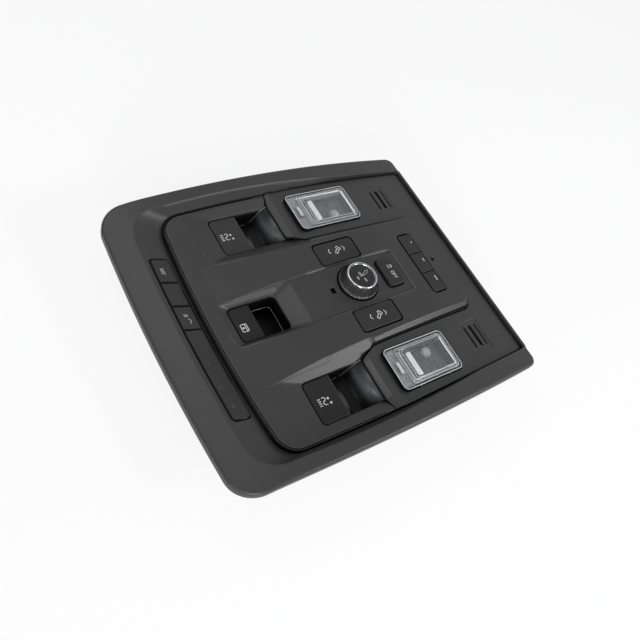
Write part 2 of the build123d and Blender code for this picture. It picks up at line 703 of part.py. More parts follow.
def lamp_panel():
    """U-shaped panel with lens openings, collars, grille slots and microphone frames."""
    shape = lamp_shape()
    solid = prism(shape, LEDGE_Z, 20) & under(face_profile(), LAMP_PANEL_RISE)
    solid = fillet(parting_edges(solid, FRONT_EDGE_X - BIG), PANEL_ROUND)
    solid = solid - arm_front_cut()
    within = outline(
        PARTING_INSET + PANEL_GAP + SKIN, PANEL_FRONT_X, REAR_EDGE_X - REAR_LIP - REAR_GAP - SKIN, 8.0, 3.0,
    )
    half = TONGUE_FRONT_HALF + SKIN + 0.6
    wide_tongue = rounded(ARM_FRONT_X - 40, TONGUE_REAR_X + SKIN, -half, half, TONGUE_RADIUS)
    room = (within & rounded(ARM_FRONT_X + SKIN, REAR_EDGE_X, -BIG, BIG, 3.0)) - wide_tongue
    space = prism(room, -40, 20) & under(face_profile(), LAMP_PANEL_RISE - SKIN - 0.6)
    grille_x, grille_y = grille_centre()
    for side in (LEFT, RIGHT):
        frame = lamp_frame(side)
        collar = frame * Pos(0, 0, LAMP_FLANGE_TOP) * extrude(lens_plan(LAMP_GAP + COLLAR_WALL), 20)
        space = space - collar
        ring = Pos(grille_x, side * grille_y, 0) * (
            Box(BOOT_LENGTH + 2 * (BOOT_GAP + BOOT_FRAME), BOOT_WIDTH + 2 * (BOOT_GAP + BOOT_FRAME), 2 * BIG)
            - Box(BOOT_LENGTH + 2 * BOOT_GAP, BOOT_WIDTH + 2 * BOOT_GAP, 2 * BIG)
        )
        space = space - (ring & block(0, BIG, -BIG, BIG, LEDGE_Z, 20))
    solid = solid - space
    for side in (LEFT, RIGHT):
        solid = solid - lamp_frame(side) * Pos(0, 0, -30) * extrude(lens_plan(LAMP_GAP), 60)
        recess = rounded(
            GRILLE_SLOTS[0][0] - GRILLE_RECESS_MARGIN, GRILLE_SLOTS[-1][0] + GRILLE_RECESS_MARGIN,
            side * (GRILLE_INNER_Y - GRILLE_RECESS_MARGIN),
            side * (GRILLE_OUTER_Y + GRILLE_RECESS_MARGIN), 1.5,
        )
        solid = solid - (
            prism(recess, -20, 20) - under(face_profile(), LAMP_PANEL_RISE - GRILLE_RECESS_DEPTH)
        )
        for x, width in GRILLE_SLOTS:
            slot = rounded(
                x - width / 2, x + width / 2, side * GRILLE_INNER_Y, side * GRILLE_OUTER_Y, width / 2 - 0.05,
            )
            solid = solid - prism(slot, -20, 20)
    rear = REAR_EDGE_X - REAR_LIP - REAR_GAP
    for y_low, y_high in REAR_NOTCHES:
        solid = solid - block(rear - REAR_NOTCH_DEPTH, rear + 1, y_low, y_high, -20, 20)
    return solid


def lens():
    """Clear stepped lens with a wide front slope, drawn level at its own middle."""
    flange = Pos(0, 0, -LENS_FLANGE) * extrude(lens_plan(), LENS_FLANGE)
    lift = LENS_RAISE
    middle = (LENS_FRONT_SLOPE - LENS_SIDE_SLOPE) / 2
    top_length = LENS_LENGTH - 3.0 - LENS_FRONT_SLOPE - LENS_SIDE_SLOPE
    top_width = LENS_WIDTH - 3.0 - 2 * LENS_SIDE_SLOPE
    base = RectangleRounded(LENS_LENGTH - 3.0, LENS_WIDTH - 3.0, 2.4)
    top = Pos(middle, 0, lift) * RectangleRounded(top_length, top_width, 2.0)
    raised = loft([Pos(0, 0, -0.01) * base, top], ruled=True)
    hollow_base = RectangleRounded(LENS_LENGTH - 7.0, LENS_WIDTH - 7.0, 2.0)
    hollow_top = Pos(middle, 0, lift - LENS_WALL) * RectangleRounded(top_length - 1.0, top_width - 1.0, 1.6)
    hollow = loft([Pos(0, 0, -LENS_FLANGE - 0.5) * hollow_base, hollow_top], ruled=True)
    solid = flange + raised - hollow
    for side in (LEFT, RIGHT):
        for x in LUG_PLACES:
            lug = Box(2 * LUG_SIZE, 2 * LUG_PROUD, LENS_FLANGE - 0.3)
            solid = solid + Pos(x, side * LENS_WIDTH / 2, -(LENS_FLANGE + 0.3) / 2) * lug
    return solid


def lamp_housing():
    """Box behind one lens, with its flange and board posts."""
    top = -LENS_FLANGE
    box = Pos(0, 0, -LAMP_DEPTH) * extrude(lens_plan(), LAMP_DEPTH + top)
    room = Pos(0, 0, LAMP_WALL - LAMP_DEPTH) * extrude(lens_plan(-LAMP_WALL), LAMP_DEPTH)
    flange = Pos(0, 0, LAMP_FLANGE_TOP - LAMP_FLANGE_THICKNESS) * extrude(
        lens_plan(LAMP_FLANGE_WIDTH), LAMP_FLANGE_THICKNESS
    )
    solid = (box + flange) - room
    x = LENS_LENGTH / 2 - LAMP_WALL - 3.5
    y = LENS_WIDTH / 2 - LAMP_WALL - 3.5
    posts = [
        post(sx * x, sy * y, 2.0, LAMP_WALL - LAMP_DEPTH, lamp_board_top() - BOARD_THICKNESS)
        for sx in (-1, 1) for sy in (-1, 1)
    ]
    return solid + posts


def lamp_board_top():
    """Upper face of a lamp board, where its reflector stands."""
    return REFLECTOR_TOP - REFLECTOR_HEIGHT


def lamp_board():
    plate = lens_plan(-LAMP_WALL - 0.4)
    return Pos(0, 0, lamp_board_top() - BOARD_THICKNESS) * extrude(plate, BOARD_THICKNESS)


def reflector():
    """Dark insert with a sunk window, a shelf and a slot for the light bar."""
    plan = lens_plan(-LAMP_WALL - 0.3)
    body = Pos(0, 0, REFLECTOR_TOP - REFLECTOR_HEIGHT) * extrude(plan, REFLECTOR_HEIGHT)
    front = LIGHT_BAR_X + LIGHT_BAR_LENGTH / 2
    rear = LENS_LENGTH / 2 - 4.2
    half = LENS_WIDTH / 2 - WINDOW_MARGIN
    mouth = Pos(0, 0, REFLECTOR_TOP + 0.1) * rounded(front, rear, -half, half, 1.0)
    foot = half - 1.2
    floor = Pos(0, 0, REFLECTOR_TOP - WINDOW_DEPTH) * rounded(front + 1.5, rear - 2.5, -foot, foot, 1.0)
    body = body - loft([floor, mouth], ruled=True)
    shelf_front = LIGHT_BAR_X - LIGHT_BAR_LENGTH * 1.5
    shelf_half = LIGHT_BAR_WIDTH / 2 - 1.3
    shelf = rounded(shelf_front, LIGHT_BAR_X, -shelf_half, shelf_half, 0.8)
    body = body - prism(shelf, REFLECTOR_TOP - 2.0, REFLECTOR_TOP + 1)
    slot = Pos(LIGHT_BAR_X, 0) * Rectangle(LIGHT_BAR_LENGTH + 0.3, LIGHT_BAR_WIDTH + 0.3)
    return body - prism(slot, REFLECTOR_TOP - REFLECTOR_HEIGHT - 1, REFLECTOR_TOP + 1)


def light_bar():
    """White light guide that stands on the lamp board."""
    height = REFLECTOR_HEIGHT - 0.2
    bar = Pos(LIGHT_BAR_X, 0) * Rectangle(LIGHT_BAR_LENGTH, LIGHT_BAR_WIDTH)
    solid = Pos(0, 0, lamp_board_top()) * extrude(bar, height)
    return fillet(solid.faces().sort_by(Axis.Z)[-1].edges(), 0.5)


def domed(radius, side_height, rise):
    """Short cylinder with a rounded top."""
    ball = (radius ** 2 + rise ** 2) / (2 * rise)
    full = post(0, 0, radius, 0, side_height + rise)
    return full & Pos(0, 0, side_height + rise - ball) * Sphere(ball)


def led_dome():
    """Round LED lens on the floor of the window."""
    dome = domed(DOME_RADIUS, DOME_SIDE, DOME_RISE)
    return Pos(DOME_X, DOME_Y, REFLECTOR_TOP - WINDOW_DEPTH) * dome


def microphone_boot():
    """Rubber block under the grille, with a bore for the microphone."""
    top = microphone_seat_z() - 0.6 - SEAT_GAP
    body = prism(RectangleRounded(BOOT_LENGTH, BOOT_WIDTH, 1.0), top - BOOT_HEIGHT, top)
    bore = post(0, 0, MICROPHONE_RADIUS + 0.1, top - BOOT_HEIGHT - 1, top - BOOT_HEIGHT + MICROPHONE_HEIGHT)
    return body - bore


def microphone():
    top = microphone_seat_z() - 0.6 - SEAT_GAP - BOOT_HEIGHT + MICROPHONE_HEIGHT
    return post(0, 0, MICROPHONE_RADIUS, top - MICROPHONE_HEIGHT - 0.6, top)


def switch_module(front, rear, inner, outer, cavity, pivot_x):
    """Box under one roof switch: side walls, platform, finger pit and hinge holes."""
    floor = min(vertex.Z for vertex in cavity.vertices())
    wall = MODULE_WALL
    body = block(front - wall, rear, inner - wall, outer + wall, floor - wall, MODULE_TOP_Z)
    body = body - cavity
    hole = PADDLE_PIN_RADIUS + PIN_FIT
    middle = (inner + outer) / 2
    length = outer - inner + 2 * PIN_REACH + 0.2
    pin_hole = Pos(pivot_x, middle, PADDLE_PIVOT_Z) * Rot(90, 0, 0) * Cylinder(hole, length)
    return body - pin_hole


def side_cavity(inner, outer):
    """Space in a side switch module: platform, pit and the scoop that rises rearward."""
    platform_rear = SIDE_WELL_FRONT_X + SIDE_PADDLE_LENGTH + PLATFORM_MARGIN
    scoop_end = (ARM_FRONT_X - SEAT_GAP - SCOOP_EDGE, SCOOP_TOP_Z)
    start = (SCOOP_START_X, SIDE_WELL_FLOOR_Z)
    profile = make_face([
        *Polyline(
            (scoop_end[0], 20), (SIDE_WELL_FRONT_X, 20), (SIDE_WELL_FRONT_X, MODULE_PLATFORM_Z),
            (platform_rear, MODULE_PLATFORM_Z), (platform_rear, SIDE_WELL_FLOOR_Z), start,
        ).edges(),
        ThreePointArc(start, SCOOP_MIDDLE, scoop_end), Line(scoop_end, (scoop_end[0], 20)),
    ])
    middle = (inner + outer) / 2
    return Pos(0, middle, 0) * extrude(Plane.XZ * profile, (outer - inner) / 2, both=True)


def side_module():
    """Module of the left side switch."""
    rear = ARM_FRONT_X - SEAT_GAP
    cavity = side_cavity(SIDE_WELL_INNER_Y, SIDE_WELL_OUTER_Y)
    body = switch_module(
        SIDE_WELL_FRONT_X, rear, SIDE_WELL_INNER_Y, SIDE_WELL_OUTER_Y, cavity, side_pivot_x(),
    )
    tongue = block(
        SCOOP_START_X, rear, SIDE_WELL_INNER_Y + SEAT_GAP, SIDE_WELL_OUTER_Y - SEAT_GAP,
        MODULE_TOP_Z - 0.01, SCOOP_TOP_Z,
    )
    return body + (tongue - cavity)


def centre_module():
    """Module of the centre switch, with a deep straight pit."""
    platform_rear = CENTRE_WELL_FRONT_X + CENTRE_PADDLE_LENGTH + PLATFORM_MARGIN
    pit = prism(centre_opening(), CENTRE_WELL_FLOOR_Z, 20)
    keep = block(
        CENTRE_WELL_FRONT_X, platform_rear, -CENTRE_WELL_HALF, CENTRE_WELL_HALF, -40, MODULE_PLATFORM_Z,
    )
    return switch_module(
        CENTRE_WELL_FRONT_X, CENTRE_WELL_REAR_X + MODULE_WALL, -CENTRE_WELL_HALF, CENTRE_WELL_HALF,
        pit - keep, centre_pivot_x(),
    )


def side_pivot_x():
    return SIDE_WELL_FRONT_X + PADDLE_END_GAP + PADDLE_PIN_SHARE * SIDE_PADDLE_LENGTH


def centre_pivot_x():
    return CENTRE_WELL_FRONT_X + PADDLE_END_GAP + PADDLE_PIN_SHARE * CENTRE_PADDLE_LENGTH


def paddle(front, length, inner, outer, edge_z, pivot_x):
    """Rocker: plate with a finger lip at the rear, hub and hinge pin."""
    low = inner + PADDLE_SIDE_GAP
    high = outer - PADDLE_SIDE_GAP
    start = front + PADDLE_END_GAP
    end = start + length
    top = edge_z - PADDLE_DROP
    plan = rounded(start, end, low, high, WELL_RADIUS - PADDLE_SIDE_GAP)
    square = rounded((start + end) / 2, end, low, high, 0.8)
    plate = prism(plan + square, top - PADDLE_PLATE, top)
    plate = fillet(plate.faces().sort_by(Axis.Z)[-1].edges(), PADDLE_ROUND)
    hub = block(
        pivot_x - 4.5, pivot_x + 4.5, low + 1.0, high - 1.0, PADDLE_PIVOT_Z - HUB_DROP, top - PADDLE_PLATE,
    )
    pin_length = outer - inner + 2 * PIN_REACH
    pin = Rot(90, 0, 0) * Cylinder(PADDLE_PIN_RADIUS, pin_length)
    pin = Pos(pivot_x, (inner + outer) / 2, PADDLE_PIVOT_Z) * pin
    return plate + hub + pin


def side_paddle():
    return paddle(
        SIDE_WELL_FRONT_X, SIDE_PADDLE_LENGTH, SIDE_WELL_INNER_Y, SIDE_WELL_OUTER_Y,
        WELL_EDGE_Z, side_pivot_x(),
    )


def centre_paddle():
    return paddle(
        CENTRE_WELL_FRONT_X, CENTRE_PADDLE_LENGTH, -CENTRE_WELL_HALF, CENTRE_WELL_HALF, CENTRE_EDGE_Z,
        centre_pivot_x(),
    )


def switch_top():
    """Top of the small switches on the main board."""
    return BOARD_TOP_Z + SWITCH_HEIGHT


def push_button(plan, flange_plan, x, y, length, proud):
    """Button with a face that follows the panel, a stop flange and a stem."""
    ends = (panel_z(x - length / 2 - 2), panel_z(x + length / 2 + 2))
    flange_top = min(ends) - SKIN - CHANNEL_DEPTH - SEAT_GAP
    cap = prism(plan, flange_top - FLANGE_THICKNESS, 20) & under(panel_profile(), proud)
    cap = fillet(edges_round_top(cap), BUTTON_ROUND)
    flange = prism(flange_plan, flange_top - FLANGE_THICKNESS, flange_top)
    stem_bottom = switch_top() + BUTTON_TRAVEL + SWITCH_GAP
    return cap + flange + post(x, y, STEM_RADIUS, stem_bottom, flange_top - FLANGE_THICKNESS / 2)


def lamp_button(side):
    return push_button(
        lamp_button_plan(side), lamp_button_plan(side, FLANGE_WIDTH), LAMP_BUTTON_X, side * LAMP_BUTTON_Y,
        LAMP_BUTTON_LENGTH, BUTTON_PROUD,
    )


def door_button():
    return push_button(
        door_button_plan(), door_button_plan(FLANGE_WIDTH), DOOR_BUTTON_X, 0,
        DOOR_BUTTON_LENGTH, DOOR_BUTTON_PROUD,
    )


def home_y(number):
    """Middle of one of the three buttons in the rear strip."""
    pitch = HOME_WIDTH / HOME_COUNT
    return HOME_WIDTH / 2 - pitch * (number - 0.5)


def home_button(number):
    pitch = HOME_WIDTH / HOME_COUNT
    y = home_y(number)
    cell = Pos(HOME_X, y) * Rectangle(HOME_LENGTH + 2 * FLANGE_WIDTH, pitch - GUIDE_GAP)
    return push_button(home_plan() & cell, cell, HOME_X, y, HOME_LENGTH, BUTTON_PROUD)


def knob_base_z():
    """Underside of the knob, a small lift above the channel."""
    highest = max(panel_z(KNOB_X - KNOB_BASE_RADIUS), panel_z(KNOB_X), panel_z(KNOB_X + KNOB_BASE_RADIUS))
    return highest - CHANNEL_DEPTH + KNOB_LIFT


def knob_skirt():
    """Flared, finely ribbed skirt of the knob."""
    rim = KNOB_HEIGHT - KNOB_RING_HEIGHT
    profile = make_face([
        *Polyline(
            (0, rim), (0, 0), (KNOB_BASE_RADIUS, 0), (KNOB_BASE_RADIUS, 0.5),
        ).edges(),
        ThreePointArc(
            (KNOB_BASE_RADIUS, 0.5), (KNOB_WAIST_RADIUS + 0.9, 1.1), (KNOB_WAIST_RADIUS, KNOB_FLARE_HEIGHT),
        ),
        Line((KNOB_WAIST_RADIUS, KNOB_FLARE_HEIGHT), (KNOB_RING_RADIUS, rim)),
        Line((KNOB_RING_RADIUS, rim), (0, rim)),
    ])
    solid = revolve(Plane.XZ * profile, Axis.Z)
    groove = Pos(KNOB_WAIST_RADIUS + 0.35, 0, rim / 2 + 1.4) * Rot(0, -8, 0) * Cylinder(0.6, rim - 1.0)
    solid = solid - [Rot(0, 0, 360 * turn / KNOB_RIBS) * groove for turn in range(KNOB_RIBS)]
    solid = solid - post(0, 0, SHAFT_RADIUS + 0.05, -1, 5)
    return Pos(KNOB_X, 0, knob_base_z()) * solid


def knob_ring():
    """Bright ring round the top of the knob."""
    rim = KNOB_HEIGHT - KNOB_RING_HEIGHT
    inner = KNOB_RING_RADIUS - KNOB_RING_WIDTH
    section = Pos((inner + KNOB_RING_RADIUS) / 2, (rim + KNOB_HEIGHT) / 2) * Rectangle(
        KNOB_RING_RADIUS - inner, KNOB_RING_HEIGHT
    )
    section = fillet(section.vertices().group_by(Axis.Y)[-1], KNOB_RING_ROUND)
    return Pos(KNOB_X, 0, knob_base_z()) * revolve(Plane.XZ * section, Axis.Z)


def knob_cap():
    """Slightly domed cap inside the ring."""
    rim = knob_base_z() + KNOB_HEIGHT - KNOB_RING_HEIGHT
    radius = KNOB_RING_RADIUS - KNOB_RING_WIDTH - 0.1
    return Pos(KNOB_X, 0, rim) * domed(radius, KNOB_RING_HEIGHT - 0.7, 0.4)


def knob_shaft():
    """Shaft that joins the knob to its rotary switch."""
    return post(KNOB_X, 0, SHAFT_RADIUS, SHAFT_BOTTOM_Z, knob_base_z() + 4.8)


def rotary_switch():
    """Switch on the main board, with a bearing bore for the shaft."""
    body = block(KNOB_X - 7.5, KNOB_X + 7.5, -7.5, 7.5, BOARD_TOP_Z, BOARD_TOP_Z + 6.4)
    return body - post(KNOB_X, 0, SHAFT_RADIUS + SHAFT_FIT, SHAFT_BOTTOM_Z - 0.4, 5)


def strip_piece(y_low, y_high):
    """Cap and stop flange for the stretch of the control strip between two places along it."""
    middle = Pos((y_low + y_high) / 2, 0)
    cell = middle * Rectangle(y_high - y_low - GUIDE_GAP, 2 * STRIP_WIDTH)
    flange_cell = middle * Rectangle(y_high - y_low - 3 * STRIP_FLANGE, 2 * STRIP_WIDTH)
    flange_top = -FUNNEL_WALL - SEAT_GAP
    low = flange_top - FLANGE_THICKNESS
    cap = slope_plane() * Pos(0, 0, low) * extrude(strip_plan(GUIDE_GAP) & cell, 2 - low)
    cap = cap - funnel(-STRIP_PROUD)
    flange = extrude(strip_plan(-STRIP_FLANGE) & flange_cell, FLANGE_THICKNESS)
    return cap + slope_plane() * Pos(0, 0, low) * flange


def strip_ends():
    """Edges between the pieces of the control strip."""
    return [STRIP_LENGTH / 2, *STRIP_SPLITS, -STRIP_LENGTH / 2]


def strip_button(number):
    """One of the three buttons in the front strip."""
    ends = strip_ends()
    y_high, y_low = ends[number - 1], ends[number]
    stem_top = -FUNNEL_WALL - SEAT_GAP - FLANGE_THICKNESS / 2
    stem_bottom = strip_switch_top() + STRIP_TRAVEL + SWITCH_GAP
    stem = post((y_low + y_high) / 2, 0, STEM_RADIUS, stem_bottom, stem_top)
    return strip_piece(y_low, y_high) + slope_plane() * stem


def strip_switch_top():
    return BOARD_THICKNESS - STRIP_BOARD_DEPTH + 2.0


def indicator_window():
    """Smoked window over the indicators in the front strip."""
    ends = strip_ends()
    return strip_piece(ends[4], ends[3])


def strip_board():
    """Circuit board behind the control strip, parallel to the slope."""
    board = Box(STRIP_LENGTH + 16, STRIP_BOARD_WIDTH, BOARD_THICKNESS)
    return slope_plane() * Pos(0, 0, BOARD_THICKNESS / 2 - STRIP_BOARD_DEPTH) * board


def strip_posts():
    """Posts of the ring that carry the strip's board."""
    x = STRIP_LENGTH / 2 + 4.6
    top = BOARD_THICKNESS - STRIP_BOARD_DEPTH
    posts = [post(side * x, 0, 2.6, top, 0) for side in (LEFT, RIGHT)]
    return [slope_plane() * item for item in posts]


def small_switch(x, y, base, height):
    """Push switch: square case with a round plunger."""
    half = SWITCH_SIZE / 2
    case = block(x - half, x + half, y - half, y + half, base, base + height * 0.7)
    return case + post(x, y, 1.6, base, base + height)


def board_switches():
    """Push switches on the main board, one under each button."""
    places = [(LAMP_BUTTON_X, LAMP_BUTTON_Y), (LAMP_BUTTON_X, -LAMP_BUTTON_Y), (DOOR_BUTTON_X, 0)]
    places = places + [(HOME_X, home_y(number)) for number in range(1, HOME_COUNT + 1)]
    return Compound([small_switch(x, y, BOARD_TOP_Z, SWITCH_HEIGHT).solid() for x, y in places])


def strip_switches():
    """Push switches on the strip's board."""
    ends = strip_ends()
    base = BOARD_THICKNESS - STRIP_BOARD_DEPTH
    places = [(ends[number] + ends[number + 1]) / 2 for number in range(3)]
    return Compound([(slope_plane() * small_switch(x, 0, base, 2.0)).solid() for x in places])


def main_board():
    """Circuit board behind the centre panel."""
    shape = rounded(BOARD_FRONT_X, BOARD_REAR_X, -BOARD_HALF_WIDTH, BOARD_HALF_WIDTH, 3.0)
    solid = prism(shape, BOARD_TOP_Z - BOARD_THICKNESS, BOARD_TOP_Z)
    for x, y in board_screw_places():
        solid = solid - post(x, y, SCREW_RADIUS + 0.2, -40, 0)
    return solid


def screw(x, y, head_top, length):
    """Screw that points up, with its round head below."""
    head = post(x, y, SCREW_HEAD_RADIUS, head_top - SCREW_HEAD_HEIGHT, head_top)
    cross = block(x - 1.5, x + 1.5, y - 0.4, y + 0.4, head_top - SCREW_HEAD_HEIGHT, head_top - 1.0)
    cross = cross + block(x - 0.4, x + 0.4, y - 1.5, y + 1.5, head_top - SCREW_HEAD_HEIGHT, head_top - 1.0)
    return head + post(x, y, SCREW_RADIUS - 0.25, head_top - 0.5, head_top + length) - cross


def board_screws():
    """Screws that hold the main board."""
    seat = BOARD_TOP_Z - BOARD_THICKNESS
    return Compound([screw(x, y, seat, BOARD_SCREW_LENGTH).solid() for x, y in board_screw_places()])


def light_sensor():
    """Sensor that looks out through the small square hole."""
    top = panel_z(SENSOR_X) - SKIN - CHANNEL_DEPTH - SEAT_GAP
    return block(SENSOR_X - 3.5, SENSOR_X + 3.5, -4.0, 4.0, BOARD_TOP_Z, top)


def housing():
    """Housing behind the face: flanged tray with ribs, bosses and a connector window."""
    top = LEDGE_Z - LEDGE_THICKNESS
    plate_z = HOUSING_BOTTOM_Z + RIB_HEIGHT
    solid = prism(housing_outline(), plate_z, top)
    solid = solid - prism(housing_outline(-HOUSING_WALL), plate_z + HOUSING_WALL, top + 1)
    flange = prism(housing_outline(HOUSING_FLANGE), top - HOUSING_WALL, top)
    solid = solid + (flange - prism(housing_outline(-HOUSING_WALL), -40, 0))
    rim = prism(housing_outline(), HOUSING_BOTTOM_Z, plate_z)
    solid = solid + (rim - prism(housing_outline(-RIB_WIDTH), -50, 0))
    length = HOUSING_REAR_X - HOUSING_FRONT_X
    for number in range(1, RIB_COUNT):
        x = HOUSING_FRONT_X + length * number / RIB_COUNT
        half = half_width(x, HOUSING_INSET) - 0.5
        solid = solid + block(
            x - RIB_WIDTH / 2, x + RIB_WIDTH / 2, -half, half, HOUSING_BOTTOM_Z, plate_z + 0.1,
        )
    for x, y in mount_places():
        solid = solid + post(x, y, MOUNT_BOSS_RADIUS, HOUSING_BOTTOM_Z, HOUSING_BOTTOM_Z + MOUNT_BOSS_HEIGHT)
    for x, y in mount_places():
        solid = solid - post(x, y, MOUNT_HOLE_RADIUS, -60, HOUSING_BOTTOM_Z + MOUNT_BOSS_HEIGHT + 5)
    for x, y in housing_screw_places():
        solid = solid - post(x, y, SCREW_RADIUS + 0.2, -20, 0)
    half = CONNECTOR_WIDTH / 2 + 0.4
    window_bottom = BOARD_TOP_Z - BOARD_THICKNESS - CONNECTOR_HEIGHT - 0.4
    return solid - block(
        HOUSING_REAR_X - 2 * HOUSING_WALL, HOUSING_REAR_X + HOUSING_FLANGE + 1,
        -half, half, window_bottom, top + 1,
    )


def mount_places():
    """Screw holes that fix the console to the roof."""
    return [(x, y) for x in (MOUNT_FRONT_X, MOUNT_REAR_X) for y in (-MOUNT_HALF_WIDTH, MOUNT_HALF_WIDTH)]


def housing_screws():
    """Screws that hold the housing to the ring."""
    seat = LEDGE_Z - LEDGE_THICKNESS - HOUSING_WALL
    length = HOUSING_WALL + HOUSING_SCREW_BITE
    return Compound([screw(x, y, seat, length).solid() for x, y in housing_screw_places()])


def connector_socket():
    """Socket under the main board that opens to the rear."""
    top = BOARD_TOP_Z - BOARD_THICKNESS
    rear = HOUSING_REAR_X + CONNECTOR_PROUD
    half = CONNECTOR_WIDTH / 2
    body = block(rear - CONNECTOR_LENGTH, rear, -half, half, top - CONNECTOR_HEIGHT, top)
    inside = half - CONNECTOR_WALL
    return body - block(
        rear - CONNECTOR_DEPTH, rear + 1, -inside, inside,
        top - CONNECTOR_HEIGHT + CONNECTOR_WALL, top - CONNECTOR_WALL,
    )


def connector_pins():
    """Row of contacts in the socket."""
    middle = BOARD_TOP_Z - BOARD_THICKNESS - CONNECTOR_HEIGHT / 2
    rear = HOUSING_REAR_X + CONNECTOR_PROUD
    root = rear - CONNECTOR_DEPTH + PIN_LENGTH / 2
    pitch = (CONNECTOR_WIDTH - 6) / (CONNECTOR_PINS - 1)
    pins = [
        Pos(root, (number - (CONNECTOR_PINS - 1) / 2) * pitch, middle) * Box(PIN_LENGTH, PIN_SIZE, PIN_SIZE)
        for number in range(CONNECTOR_PINS)
    ]
    return Compound([pin.solid() for pin in pins])


def roof_clips():
    """Sheet spring clips pushed over the clip towers."""
    clips = []
    half = TOWER_THICKNESS / 2 + 0.1
    low = TOWER_BOTTOM_Z - 0.1
    outer = half + CLIP_SHEET
    barb_top, barb_tip, barb_foot = CLIP_BARB_Z
    section = make_face(Polyline(
        (-outer, CLIP_TOP_Z), (-half, CLIP_TOP_Z), (-half, low), (half, low), (half, CLIP_TOP_Z),
        (outer, CLIP_TOP_Z), (outer, barb_top), (outer + CLIP_BARB, barb_tip), (outer, barb_foot),
        (outer, low - CLIP_SHEET), (-outer, low - CLIP_SHEET), (-outer, barb_foot),
        (-outer - CLIP_BARB, barb_tip), (-outer, barb_top), close=True,
    ))
    clip = extrude(Plane.YZ * section, CLIP_WIDTH / 2 - 1.5, both=True)
    for side in (LEFT, RIGHT):
        for x in CLIP_PLACES:
            clips.append((Pos(x, clip_y(x, side), 0) * clip).solid())
    return Compound(clips)


def mirrored(shape):
    """The same piece on the other side of the console."""
    return mirror(shape, Plane.XZ)


def build_nodes():
    """Every piece of the console by name."""
    nodes = {
        "outer_bezel": bezel() + strip_posts(),
        "centre_panel": centre_panel(),
        "lamp_panel": lamp_panel(),
        "rear_housing": housing(),
        "main_board": main_board(),
        "strip_board": strip_board(),
        "board_switches": board_switches(),
        "strip_switches": strip_switches(),
        "board_screws": board_screws(),
        "housing_screws": housing_screws(),
        "connector_socket": connector_socket(),
        "connector_pins": connector_pins(),
        "roof_clips": roof_clips(),
        "light_sensor": light_sensor(),
        "rotary_switch": rotary_switch(),
        "knob_shaft": knob_shaft(),
        "knob_skirt": knob_skirt(),
        "knob_ring": knob_ring(),
        "knob_cap": knob_cap(),
        "door_button": door_button(),
        "centre_switch_module": centre_module(),
        "centre_paddle": centre_paddle(),
        "indicator_window": indicator_window(),
        "strip_button_1": strip_button(1),
        "strip_button_2": strip_button(2),
        "strip_button_3": strip_button(3),
    }
    for number in range(1, HOME_COUNT + 1):
        nodes[f"home_button_{number}"] = home_button(number)
    module = side_module()
    rocker = side_paddle()
    grille_x, grille_y = grille_centre()
    for name, side in SIDES.items():
        nodes[f"side_switch_module_{name}"] = module if side == LEFT else mirrored(module)
        nodes[f"side_paddle_{name}"] = rocker if side == LEFT else mirrored(rocker)
        nodes[f"lamp_button_{name}"] = lamp_button(side)
        place = Pos(grille_x, side * grille_y, 0)
        nodes[f"microphone_boot_{name}"] = place * microphone_boot()
        nodes[f"microphone_{name}"] = place * microphone()
        frame = lamp_frame(LEFT)
        lamp = {
            "lens": lens(), "lamp_housing": lamp_housing(), "lamp_board": lamp_board(),
            "reflector": reflector(), "light_bar": light_bar(), "led_dome": led_dome(),
        }
        for piece, shape in lamp.items():
            placed = frame * shape
            nodes[f"{piece}_{name}"] = placed if side == LEFT else mirrored(placed)
    return nodes


def export_all(nodes):
    """Moves each piece to the console's own frame and writes it."""
    os.makedirs("parts", exist_ok=True)
    centre_x = (FRONT_EDGE_X + REAR_EDGE_X) / 2
    for name, shape in nodes.items():
        export_step(Pos(-centre_x, 0, -HOUSING_BOTTOM_Z) * shape, f"parts/{name}.step")


export_all(build_nodes())
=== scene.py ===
import math

import bmesh
import bpy
from mathutils import Matrix, Vector
from mathutils.bvhtree import BVHTree


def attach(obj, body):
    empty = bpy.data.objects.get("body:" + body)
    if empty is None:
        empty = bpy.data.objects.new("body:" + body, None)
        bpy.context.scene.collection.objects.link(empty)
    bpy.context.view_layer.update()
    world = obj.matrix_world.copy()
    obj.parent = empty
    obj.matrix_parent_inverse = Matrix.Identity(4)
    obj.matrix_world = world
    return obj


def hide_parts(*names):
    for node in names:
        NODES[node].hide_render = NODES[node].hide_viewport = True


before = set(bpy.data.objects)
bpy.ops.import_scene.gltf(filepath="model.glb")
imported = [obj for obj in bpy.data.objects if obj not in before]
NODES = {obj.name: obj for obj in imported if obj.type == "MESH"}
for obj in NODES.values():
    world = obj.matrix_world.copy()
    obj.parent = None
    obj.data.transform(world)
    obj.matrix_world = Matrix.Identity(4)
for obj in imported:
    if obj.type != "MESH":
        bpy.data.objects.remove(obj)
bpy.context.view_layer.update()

# ---- places on the CAD pieces, in millimetres of part.py's drawing frame
# x runs to the rear of the car, y to its left side and z out of the face.

MM = 0.001
DRAWING_X = 27.45 * MM  # from the drawing frame's origin to the part's own
DRAWING_Z = 38.0 * MM

KNOB_X = -2.4
KNOB_GAP_RADIUS = 15.9
KNOB_RING_RADIUS = 10.5  # line between the ring's bright and dark bands

LENS_X = 10.95
LENS_Y = 73.05
LENS_STEP_X = LENS_X + 3.4
# Length, width and corner radius of the closed lines on each lens.
LENS_RIM = (56.6, 32.8, 3.8)
LENS_INNER_STEP = (41.6, 24.6, 2.6)
LENS_OUTER_STEP = (46.2, 28.6, 3.2)
LENS_GROOVE = (48.4, 30.4, 3.4)
